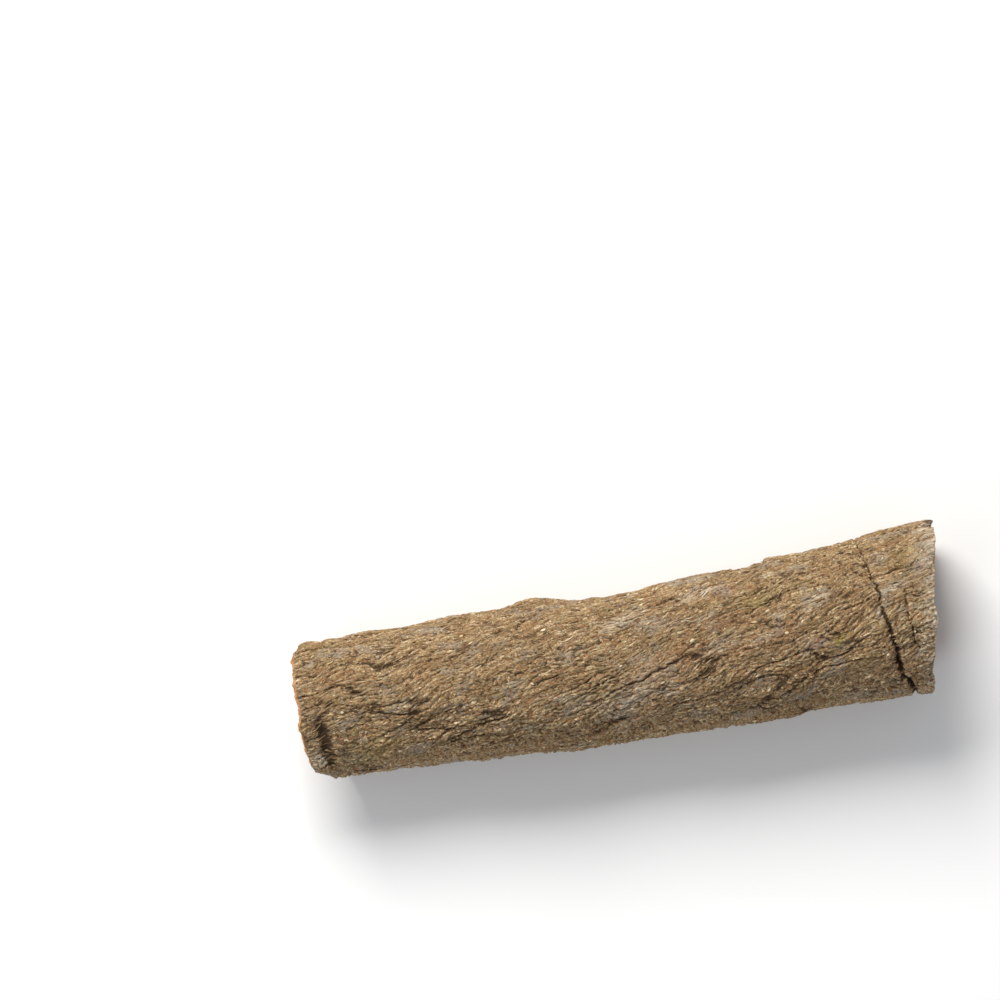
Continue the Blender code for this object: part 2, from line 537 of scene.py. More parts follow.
    def swells(self, x: Array, girth: Array) -> Array:
        """Height of the broad swells and of the larger ridges along the fibre.

        Args:
            x: Places along the quill.
            girth: Signed distances round the outer face.

        Returns:
            The heights.
        """
        length, width = self.swell_size
        swell = fractal(x / length, girth / width, 0.5, self.swell_octaves)
        with_fibre, over_fibre = self.slanted(x, girth)
        length, width = self.ridge_size
        ridge = fractal(with_fibre / length, over_fibre / width, 8.5, self.ridge_octaves)
        return self.swell_depth * swell + self.ridge_depth * ridge

    def slanted(self, x: Array, girth: Array) -> tuple[Array, Array]:
        """Coordinates along and across the bark's fibres, as if they all ran straight.

        Args:
            x: Places along the quill.
            girth: Signed distances round the outer face.

        Returns:
            The distance with the fibre, and the distance over it.
        """
        slant = math.radians(self.fibre_slant)
        with_fibre = x * math.cos(slant) + girth * math.sin(slant)
        over_fibre = girth * math.cos(slant) - x * math.sin(slant)
        return with_fibre, over_fibre

    def knot_relief(self, x: Array, girth: Array) -> Array:
        """Height of the knots.

        Args:
            x: Places along the quill.
            girth: Signed distances round the outer face.

        Returns:
            The heights.
        """
        total = np.zeros_like(x)
        for knot in self.knots:
            aside = girth - self.girth_of(knot.place, knot.turn)
            total += knot.height * bump(x - knot.place, knot.length) * bump(aside, knot.width)
        return total

    def girth_of(self, place: float, turn: float) -> float:
        """Signed distance round the outer face of one place.

        Args:
            place: The place along the quill.
            turn: Its signed turn, in degrees.

        Returns:
            The distance, negative towards the front edge.
        """
        x = np.array([place])
        radius, _ = self.outline_at(x)
        front, back = self.curls(x)
        curl = front if turn < 0 else back
        distance = self.girth(radius, curl, np.array([math.radians(abs(turn))]))
        return float(math.copysign(distance[0], turn))

    def furrows(self, inset: Array, turn: Array) -> Array:
        """Depth of the wrinkles that run round the thin end.

        Args:
            inset: Distances in from the thin rim.
            turn: Signed turns in degrees.

        Returns:
            The depths.
        """
        total = np.zeros_like(inset)
        for place, depth, width in self.end_furrows:
            wobble = self.furrow_wobble.at(turn, place)
            share = np.maximum(self.furrow_depth + self.furrow_fade.at(turn, place), 0.0)
            total += depth * share * bump(inset - place - wobble, width)
        return total

    def from_grid(self, row: Array, across: Array) -> Places:
        """Places on the outer face for a grid that follows both rims and the knife ring.

        Args:
            row: Places along the quill before it is cut to its rims.
            across: Places across the sheet, -1 to 1.

        Returns:
            The places.
        """
        turn = self.turn_at(row, across)
        radius, _ = self.outline_at(row)
        front, back = self.curls(row)
        sideways = np.where(
            across < 0,
            -self.travel(radius, front, np.abs(turn))[0],
            self.travel(radius, back, np.abs(turn))[0],
        )
        degrees = np.degrees(turn)
        ring = self.ring_place + self.ring_slant * sideways
        start = self.thin_rim(degrees)
        end = self.thick_rim(degrees, sideways)
        before = (row - self.thin_end) / (self.ring_place - self.thin_end)
        after = (row - self.ring_place) / (self.thick_end - self.ring_place)
        x = np.where(
            row < self.ring_place, start + (ring - start) * before, ring + (end - ring) * after
        )
        return self.at(x, turn)


class Bloom(Enum):
    """What tints a patch of the cork."""

    PALE = 0
    MOSS = 1
    RUST = 2


@dataclass(frozen=True)
class Patch:
    """A tinted patch of cork: its place along X, its turn, and its size."""

    kind: Bloom
    place: float
    turn: float
    length: float
    width: float
    strength: float = 1.0


@dataclass(frozen=True)
class Split:
    """A crack in the cork, darkened by painted shade, through several places, each a place along
    X and a turn.
    """

    path: tuple[tuple[float, float], ...]
    depth: float = 0.35
    width: float = 0.11


@dataclass(frozen=True)
class Crust:
    """The cork's fine relief at many places, with what its finish needs to know there."""

    height: Array
    # Painted shade: 1 on the crests, falling to 0 in creases, cracks, the knife ring and the lip
    # furrow
    crest_light: Array
    with_fibre: Array
    over_fibre: Array
    straight: Array


@dataclass(frozen=True)
class Chip:
    """A place where the outermost cork has flaked off: its place, turn, size and depth."""

    place: float
    turn: float
    length: float
    width: float
    depth: float


@dataclass(frozen=True)
class CorkRelief:
    """The crags of the cork: matted strands, creases between them, chips and cracks."""

    sheet: RolledSheet
    # How the fibres wander
    wander: tuple[Grain, ...] = (
        Grain(9.0, 6.0, 40.0, 1.2),
        Grain(3.2, 2.2, 41.0, 0.38),
        Grain(1.0, 0.8, 42.0, 0.12),
    )
    # Ropes, strands and crumbs, from coarse to fine: pattern, depth, and how much painted
    # shade a crease between two of them puts on the colour
    rope: Grain = Grain(2.4, 0.68, 50.0)
    rope_depth: float = 0.23
    rope_crease_shade: tuple[float, float] = (0.35, 0.65)
    strand: Grain = Grain(1.15, 0.34, 52.0)
    long_strand: Grain = Grain(2.8, 0.36, 53.0)
    strand_depth: float = 0.19
    strand_crease_shade: tuple[float, float] = (0.2, 0.8)
    crumb: Grain = Grain(0.68, 0.47, 54.0)
    crumb_depth: float = 0.2
    crumb_crease_shade: tuple[float, float] = (0.25, 0.75)
    # The section of a strand between two creases
    strand_rise: float = 2.4
    strand_round: float = 0.6
    strand_level: float = 0.6
    crease_width: float = 0.12
    # Where strands run long and straight, and what that does to the depths
    straight_from: tuple[float, float] = (-7.0, 9.0)
    straight_sway: Grain = Grain(13.0, 8.0, 56.0, 9.0)
    straight_share: float = 0.75
    strand_if_straight: tuple[float, float] = (0.6, 0.5)
    crumb_if_straight: tuple[float, float] = (1.0, -0.6)
    # How rough the cork is from field to field, on the front flank, beside the knife ring
    # and on the rolled edges
    rough_field: Grain = Grain(7.0, 5.0, 57.0)
    rough_edge: tuple[float, float] = (-0.3, 0.3)
    rough_range: tuple[float, float] = (0.75, 0.6)
    flank_gain: float = 0.3
    flank_start: tuple[float, float] = (35.0, 65.0)
    flank_end: tuple[float, float] = (125.0, 95.0)
    ring_calm: float = 0.55
    ring_calm_depth: float = 0.5
    roll_calm: float = 0.45
    roll_angles: tuple[float, float] = (170.0, 250.0)
    deepest: float = 0.45
    # Drying cracks, single cracks and flaked-off places
    crack: Grain = Grain(10.0, 2.6, 60.0)
    crack_edge: Grain = Grain(0.9, 0.5, 62.0, 0.045)
    crack_zone: Grain = Grain(15.0, 7.0, 61.0)
    crack_zone_edge: tuple[float, float] = (-0.1, 0.25)
    crack_depth: float = 0.34
    crack_width: float = 0.05
    crack_shade: float = 2.2
    split_wobble: tuple[Grain, ...] = (Grain(1.3, 1.3, 70.0, 0.3), Grain(0.4, 0.4, 71.0, 0.12))
    split_fade: Grain = Grain(0.9, 0.9, 72.0, 0.8)
    chip_edge: Grain = Grain(1.2, 1.0, 92.0, 0.22)
    chip_wall: tuple[float, float] = (0.86, 1.0)
    # The knife ring, deep and broad in front and fine at the back, and its worn lip
    ring_wobble: tuple[Grain, ...] = (Grain(2.6, 1.0, 80.0, 0.45), Grain(0.9, 1.0, 81.0, 0.26))
    ring_torn: tuple[Grain, ...] = (Grain(0.55, 0.5, 84.0, 0.2), Grain(0.24, 0.2, 87.0, 0.1))
    ring_steps: tuple[tuple[float, float, float], ...] = ((0.4, 20.0, 6.0), (0.5, -20.0, -38.0))
    ring_foot: tuple[float, float] = (-54.0, -68.0)
    ring_front: tuple[float, float] = (-8.0, 7.0)
    ring_depth: tuple[float, float] = (0.45, 0.95)
    ring_depth_fade: Grain = Grain(2.2, 1.0, 82.0, 0.6)
    ring_depth_level: float = 0.9
    ring_width: float = 0.24
    ring_broad: tuple[float, float] = (0.5, 0.72)
    ring_width_fade: Grain = Grain(1.6, 1.0, 85.0, 0.8)
    ring_shade_from: float = 0.08
    ring_lip: tuple[float, float] = (0.17, 0.62)
    ring_lip_front: tuple[float, float] = (0.4, 0.6)
    ring_lip_step: float = 0.2
    # The furrow behind the thin end's lip: distance from the rim, depth, width, and the
    # middle and the reach of the stretch where it shows
    lip_furrow: tuple[float, float, float] = (3.0, 0.74, 0.86)
    furrow_turns: tuple[float, float] = (-30.0, 30.0)
    furrow_fade: Grain = Grain(1.7, 1.0, 86.0, 0.35)
    furrow_level: float = 0.95
    furrow_wobble: float = 0.5
    furrow_torn: float = 0.15
    # Tints: painted light, paler towards the thick end's rim, and the patches
    rim_painted_light_reach: float = 3.0
    rim_painted_light: float = 0.66
    patch_edge: Grain = Grain(1.1, 0.7, 90.0, 0.55)
    patch_fade: tuple[float, float] = (1.5, 0.3)
    patches: tuple[Patch, ...] = (
        Patch(Bloom.MOSS, 30.3, -10.0, 1.5, 1.1, 1.0),
        Patch(Bloom.MOSS, 20.0, 33.0, 3.2, 1.6, 0.5),
        Patch(Bloom.MOSS, 41.0, 42.0, 2.4, 1.6, 0.4),
        Patch(Bloom.MOSS, -37.0, -44.0, 3.5, 2.4, 0.5),
        Patch(Bloom.PALE, 38.9, 20.0, 2.0, 0.6, 1.0),
        Patch(Bloom.PALE, 28.1, 22.0, 2.4, 0.9, 0.6),
        Patch(Bloom.PALE, 0.7, 40.0, 3.2, 1.2, 0.6),
        Patch(Bloom.PALE, 12.6, 53.0, 3.4, 1.1, 0.6),
        Patch(Bloom.PALE, 14.3, 6.0, 3.0, 1.2, 0.5),
        Patch(Bloom.PALE, 2.6, -15.0, 4.0, 2.6, 0.45),
        Patch(Bloom.PALE, -1.5, -27.0, 4.0, 2.2, 0.35),
        Patch(Bloom.PALE, -44.2, -45.0, 1.2, 1.6, 0.8),
        Patch(Bloom.RUST, 6.0, -2.0, 6.5, 1.8, 0.5),
        Patch(Bloom.RUST, 21.0, 2.0, 6.5, 1.6, 0.45),
        Patch(Bloom.RUST, 15.2, 47.0, 2.0, 1.1, 0.7),
        Patch(Bloom.RUST, 15.0, 21.0, 3.0, 1.0, 0.7),
        Patch(Bloom.RUST, 7.8, -12.0, 2.6, 1.2, 0.6),
        Patch(Bloom.RUST, 27.5, -7.0, 2.4, 1.0, 0.7),
        Patch(Bloom.RUST, 38.0, -40.0, 1.6, 1.6, 0.6),
        Patch(Bloom.RUST, 39.0, 58.0, 3.6, 0.8, 0.8),
    )
    splits: tuple[Split, ...] = (
        Split(((17.7, 24.0), (19.8, 27.0), (21.8, 29.0), (25.2, 36.0)), 0.34, 0.09),
        Split(((24.1, 51.0), (26.7, 50.0), (29.8, 51.0), (33.2, 52.0)), 0.26, 0.08),
        Split(((28.1, -2.0), (29.4, 0.0), (30.4, 3.0)), 0.3, 0.1),
        Split(((31.6, 12.0), (32.8, 13.0), (34.5, 14.0), (35.5, 15.0)), 0.34, 0.1),
        Split(((34.7, 55.0), (35.7, 49.0)), 0.3, 0.12),
        Split(((34.4, 45.0), (35.6, 40.0)), 0.32, 0.13),
        Split(((34.1, 37.0), (36.3, 31.0)), 0.36, 0.13),
        Split(((35.7, 58.0), (37.7, 56.0), (39.7, 55.0), (40.8, 58.0)), 0.34, 0.12),
        Split(((36.1, 32.0), (37.8, 32.0), (41.5, 33.0), (44.2, 37.0)), 0.38, 0.1),
        Split(((38.1, 7.0), (39.4, 9.0), (40.5, 12.0), (42.0, 9.0), (43.0, 10.0)), 0.36, 0.1),
        Split(((40.4, 15.0), (40.1, -1.0), (40.2, -8.0)), 0.34, 0.12),
        Split(((40.3, -9.0), (40.6, -14.0), (40.5, -20.0), (40.9, -27.0)), 0.36, 0.15),
        Split(((37.0, -55.0), (38.2, -56.0), (39.8, -53.0)), 0.5, 0.13),
        Split(((39.1, -56.0), (39.5, -69.0), (40.1, -88.0)), 0.5, 0.2),
        Split(((-4.0, 52.0), (-0.5, 54.0), (3.0, 58.0)), 0.3, 0.1),
        Split(((6.0, -38.0), (9.0, -36.0), (13.0, -31.0)), 0.3, 0.1),
        Split(((-24.0, -52.0), (-20.0, -51.0), (-15.0, -47.0)), 0.3, 0.12),
    )
    chips: tuple[Chip, ...] = (
        Chip(19.2, 84.0, 3.1, 4.2, 0.4),
        Chip(-12.0, 36.0, 3.0, 1.5, 0.2),
        Chip(33.0, -52.0, 2.2, 1.6, 0.25),
        Chip(3.0, 122.0, 4.0, 3.0, 0.3),
        Chip(-28.0, -118.0, 5.0, 2.6, 0.3),
    )

    def fibre_lines(self, x: Array, girth: Array) -> tuple[Array, Array]:
        """Coordinates along and across the bark's fibres, which wander and swirl.

        Args:
            x: Places along the quill.
            girth: Signed distances round the outer face.

        Returns:
            The distance with the fibre, and the distance over it.
        """
        with_fibre, over_fibre = self.sheet.slanted(x, girth)
        for grain in self.wander:
            over_fibre = over_fibre + grain.at(x, girth)
        return with_fibre, over_fibre

    def creased(self, pattern: Array) -> tuple[Array, Array]:
        """Plump strands with a sharp crease wherever a pattern crosses 0.

        Args:
            pattern: Noise about 0.

        Returns:
            The strands' height about their mean, and 0 in a crease but 1 beside it.
        """
        size = np.abs(pattern)
        height = np.minimum(size * self.strand_rise, 1.0) ** self.strand_round
        return height - self.strand_level, smooth_step(0.0, self.crease_width, size)

    def crust(self, places: Places) -> Crust:
        """The fine relief at many places.

        Args:
            places: Where to work it out.

        Returns:
            Its height above the solid's relief, its painted shade and its fibre lines.
        """
        x, girth = places.x, places.girth
        along, over = self.fibre_lines(x, girth)
        straight = smooth_step(*self.straight_from, girth + self.straight_sway.at(x, girth))
        rope, rope_crease_shade = self.creased(self.rope.at(along, over))
        short, long = self.strand.at(along, over), self.long_strand.at(along, over)
        strands = short + (long - short) * self.straight_share * straight
        strand, strand_crease_shade = self.creased(strands)
        crumb, crumb_crease_shade = self.creased(self.crumb.at(along, over))
        height = self.rope_depth * rope
        height = height + self.strand_depth * rising(self.strand_if_straight, straight) * strand
        height = height + self.crumb_depth * rising(self.crumb_if_straight, straight) * crumb
        cracks = self.long_cracks(x, girth, along, over) + self.split_depth(x, girth)
        ring = self.ring_depth_at(places)
        turn = np.degrees(places.turn)
        calm = 1 - self.roll_calm * smooth_step(*self.roll_angles, np.abs(turn))
        height = (height * self.roughness(places, ring) - cracks) * calm
        height = height - self.chip_depth(x, girth) - ring
        # Painted shade: 1 on the crests, towards 0 in the creases, cracks, the knife ring and
        # the lip furrow
        crest_light = rising(self.rope_crease_shade, rope_crease_shade) * rising(self.strand_crease_shade, strand_crease_shade)
        crest_light = crest_light * rising(self.crumb_crease_shade, crumb_crease_shade)
        shaded_depth = cracks + np.maximum(ring - self.ring_shade_from, 0.0)
        crest_light = np.clip(crest_light - self.crack_shade * shaded_depth, 0.0, 1.0)
        height = np.maximum(height, -self.deepest - ring)
        return Crust(height, crest_light, along, over, straight)

    def roughness(self, places: Places, ring: Array) -> Array:
        """How rough the cork is: it changes from field to field, is more on the front flank
        and less beside the knife ring.

        Args:
            places: Where to work it out.
            ring: Depths of the knife ring there.

        Returns:
            The roughness, about 1.
        """
        share = smooth_step(*self.rough_edge, self.rough_field.at(places.x, places.girth))
        forward = -np.degrees(places.turn)
        flank = smooth_step(*self.flank_start, forward) * smooth_step(*self.flank_end, forward)
        near_ring = np.clip(ring / self.ring_calm_depth, 0.0, 1.0)
        rough = rising(self.rough_range, share) * (1 + self.flank_gain * flank)
        return rough * (1 - self.ring_calm * near_ring)

    def chip_depth(self, x: Array, girth: Array) -> Array:
        """Depth of the places where cork has flaked off.

        Args:
            x: Places along the quill.
            girth: Signed distances round the outer face.

        Returns:
            The depths.
        """
        total = np.zeros_like(x)
        ragged = self.chip_edge.at(x, girth)
        for chip in self.chips:
            aside = girth - self.sheet.girth_of(chip.place, chip.turn)
            near = np.hypot((x - chip.place) / chip.length, aside / chip.width) + ragged
            total = np.maximum(total, chip.depth * (1 - smooth_step(*self.chip_wall, near)))
        return total

    def long_cracks(self, x: Array, girth: Array, along: Array, over: Array) -> Array:
        """Depth of the drying cracks that run with the fibre in some zones.

        Args:
            x: Places along the quill.
            girth: Signed distances round the outer face.
            along: Distances with the fibre.
            over: Distances over the fibre.

        Returns:
            The depths.
        """
        line = self.crack.at(along, over) + self.crack_edge.at(along, over)
        zone = smooth_step(*self.crack_zone_edge, self.crack_zone.at(x, girth))
        return self.crack_depth * zone * bump(line, self.crack_width)

    def split_depth(self, x: Array, girth: Array) -> Array:
        """Depth of the single cracks.

        Args:
            x: Places along the quill.
            girth: Signed distances round the outer face.

        Returns:
            The depths.
        """
        total = np.zeros_like(x)
        wobble = sum(grain.at(x, girth) for grain in self.split_wobble)
        uneven = 1.0 + self.split_fade.at(x, girth)
        for split in self.splits:
            spots = [np.array([spot[0], self.sheet.girth_of(*spot)]) for spot in split.path]
            nearest, signed = np.full_like(x, np.inf), np.full_like(x, np.inf)
            for start, run in zip(spots, np.diff(spots, axis=0)):
                near_x, near_g = x - start[0], girth - start[1]
                share = np.clip((near_x * run[0] + near_g * run[1]) / (run @ run), 0.0, 1.0)
                away = np.hypot(near_x - share * run[0], near_g - share * run[1])
                side = np.where(run[0] * near_g > run[1] * near_x, 1.0, -1.0)
                signed = np.where(away < nearest, away * side, signed)
                nearest = np.minimum(nearest, away)
            crack = split.depth * bump(signed + wobble, split.width * uneven)
            total = np.maximum(total, crack)
        return total

    def ring_depth_at(self, places: Places, widen: float = 1.0) -> Array:
        """Depth of the knife ring near the thick end and of the furrow behind the thin
        end's lip.

        Args:
            places: Where to work it out.
            widen: How many times wider than on the cork's face.

        Returns:
            The depths.
        """
        x, girth = places.x, places.girth
        wobble = sum(grain.at(girth, line) for line, grain in enumerate(self.ring_wobble, 1))
        torn = sum(grain.at(x, girth) for grain in self.ring_torn)
        turn = np.degrees(places.turn)
        away = x - self.sheet.ring_place - self.sheet.ring_slant * places.sideways
        bend = sum(step * smooth_step(start, end, turn) for step, start, end in self.ring_steps)
        away = away - wobble - torn + bend * (1 - smooth_step(*self.ring_foot, turn))
        front = 1 - smooth_step(*self.ring_front, places.sideways)
        low, high = self.ring_depth
        fade = self.ring_depth_level + self.ring_depth_fade.at(girth, 5.0)
        depth = (low + (high - low) * front) * fade
        width = rising(self.ring_broad, front) * (1.0 + self.ring_width_fade.at(girth, 7.0))
        total = depth * bump(away, self.ring_width * width * widen)
        lip_depth, lip_width = self.ring_lip
        lip = bump(away + self.ring_lip_step, lip_width * widen)
        total += lip_depth * rising(self.ring_lip_front, front) * lip
        place, furrow_depth, furrow_width = self.lip_furrow
        middle, reach = self.furrow_turns
        zone = bump(turn - middle, reach) * (self.furrow_level + self.furrow_fade.at(girth, 9.0))
        from_furrow = places.inset - place
        from_furrow = from_furrow - self.furrow_wobble * wobble - self.furrow_torn * torn
        return total + zone * furrow_depth * bump(from_furrow, furrow_width * widen)

    def bloom(self, places: Places) -> Array:
        """How strongly each kind of patch tints the cork.

        Args:
            places: Where to work it out.

        Returns:
            One row for each place, with a share for each kind in Bloom's order and a 1.
        """
        x, girth = places.x, places.girth
        tint = np.zeros((len(x), 4))
        tint[:, 3] = 1.0
        # Painted light: the cork is painted paler towards the thick end's rim
        rim = self.rim_painted_light * smooth_step(self.rim_painted_light_reach, 0.0, places.outset)
        tint[:, Bloom.PALE.value] = rim
        ragged = self.patch_edge.at(x, girth)
        slope = math.tan(math.radians(self.sheet.fibre_slant))
        for patch in self.patches:
            aside = girth - self.sheet.girth_of(patch.place, patch.turn)
            slanted = aside - (x - patch.place) * slope
            near = np.hypot((x - patch.place) / patch.length, slanted / patch.width)
            share = patch.strength * smooth_step(*self.patch_fade, near + ragged)
            tint[:, patch.kind.value] = np.maximum(tint[:, patch.kind.value], share)
        return tint


class NodeSketch:
    """A short way to add and join the nodes of one material."""

    def __init__(self, name: str) -> None:
        """Starts a material.

        Args:
            name: The material's name.
        """
        self.material = bpy.data.materials.new(name)
        self.material.use_nodes = True
        self.tree = self.material.node_tree
        self.shader = self.tree.nodes["Principled BSDF"]

    def add(self, kind: str, **settings: object) -> bpy.types.Node:
        """Adds a node.

        Args:
            kind: The node's type name.
            **settings: Properties to set on it.

        Returns:
            The node.
        """
        node = self.tree.nodes.new(kind)
        for name, value in settings.items():
            setattr(node, name, value)
        return node

    def join(self, value: object, socket: bpy.types.NodeSocket) -> None:
        """Feeds a socket from another socket, or sets it to a value.

        Args:
            value: The socket or the value.
            socket: The socket to feed.
        """
        if isinstance(value, bpy.types.NodeSocket):
            self.tree.links.new(value, socket)
        else:
            socket.default_value = value

    def attribute(self, name: str, output: str = "Fac") -> bpy.types.NodeSocket:
        """Reads one of the mesh's attributes.

        Args:
            name: The attribute's name.
            output: Which output to read.

        Returns:
            The output.
        """
        return self.add("ShaderNodeAttribute", attribute_name=name).outputs[output]

    def stretched(
        self, vector: bpy.types.NodeSocket, scale: tuple[float, float, float]
    ) -> bpy.types.NodeSocket:
        """Scales coordinates, so that a pattern is long one way and narrow the other.

        Args:
            vector: The coordinates.
            scale: The scale for each.

        Returns:
            The scaled coordinates.
        """
        node = self.add("ShaderNodeVectorMath", operation="MULTIPLY")
        self.join(vector, node.inputs[0])
        node.inputs[1].default_value = scale
        return node.outputs[0]

    def shifted(
        self, vector: bpy.types.NodeSocket, shift: tuple[float, float, float]
    ) -> bpy.types.NodeSocket:
        """Moves coordinates, so that a second pattern is unlike the first.

        Args:
            vector: The coordinates.
            shift: How far to move each.

        Returns:
            The moved coordinates.
        """
        node = self.add("ShaderNodeVectorMath", operation="ADD")
        self.join(vector, node.inputs[0])
        node.inputs[1].default_value = shift
        return node.outputs[0]

    def noise(
        self,
        vector: bpy.types.NodeSocket,
        scale: tuple[float, float, float],
        detail: float = 2.0,
        twist: float = 0.0,
    ) -> bpy.types.NodeSocket:
        """Noise on stretched coordinates.

        Args:
            vector: The coordinates.
            scale: How many features a millimetre each way.
            detail: Octaves of finer noise.
            twist: How much the pattern is distorted.

        Returns:
            The noise, 0 to 1.
        """
        node = self.add("ShaderNodeTexNoise")
        self.join(self.stretched(vector, scale), node.inputs["Vector"])
        node.inputs["Scale"].default_value = 1.0
        node.inputs["Detail"].default_value = detail
        node.inputs["Distortion"].default_value = twist
        return node.outputs["Fac"]

    def ramp(
        self, value: bpy.types.NodeSocket, stops: Sequence[tuple[float, Colour]]
    ) -> bpy.types.NodeSocket:
        """Maps a value to a colour.

        Args:
            value: The value, 0 to 1.
            stops: Places and colours, in order.

        Returns:
            The colour.
        """
        node = self.add("ShaderNodeValToRGB")
        elements = node.color_ramp.elements
        while len(elements) < len(stops):
            elements.new(0.5)
        for element, (place, colour) in zip(elements, stops):
            element.position = place
            element.color = colour
        self.join(value, node.inputs[0])
        return node.outputs[0]

    def between(self, value: object, low: float, high: float) -> bpy.types.NodeSocket:
        """Maps a range of a value to 0 to 1, smoothly.

        Args:
            value: The value.
            low: What becomes 0.
            high: What becomes 1.

        Returns:
            The mapped value.
        """
        node = self.add("ShaderNodeMapRange", interpolation_type="SMOOTHSTEP")
        self.join(value, node.inputs["Value"])
        node.inputs["From Min"].default_value = low
        node.inputs["From Max"].default_value = high
        return node.outputs[0]

    def sum(self, operation: str, first: object, second: object) -> bpy.types.NodeSocket:
        """Works out one sum.

        Args:
            operation: The Math node's operation.
            first: The first value.
            second: The second value.

        Returns:
            The result.
        """
        node = self.add("ShaderNodeMath", operation=operation)
        self.join(first, node.inputs[0])
        self.join(second, node.inputs[1])
        return node.outputs[0]

    def mix(
        self, share: object, first: object, second: object, blend: str = "MIX"
    ) -> bpy.types.NodeSocket:
        """Mixes two colours.

        Args:
            share: How much of the second, 0 to 1.
            first: The first colour.
            second: The second colour.
            blend: How they mix.

        Returns:
            The mixed colour.
        """
        node = self.add("ShaderNodeMix", data_type="RGBA", blend_type=blend)
        self.join(share, node.inputs["Factor"])
        self.join(first, node.inputs["A"])
        self.join(second, node.inputs["B"])
        return next(o for o in node.outputs if o.type == "RGBA")

    def bump(
        self, height: bpy.types.NodeSocket, depth: float, strength: float
    ) -> bpy.types.NodeSocket:
        """Turns a height into a normal.

        Args:
            height: The height, 0 to 1.
            depth: What a height of 1 is, in millimetres.
            strength: The bump's strength, 0 to 1.

        Returns:
            The normal.
        """
        node = self.add("ShaderNodeBump")
        node.inputs["Distance"].default_value = depth * MM
        node.inputs["Strength"].default_value = strength
        self.join(height, node.inputs["Height"])
        return node.outputs[0]


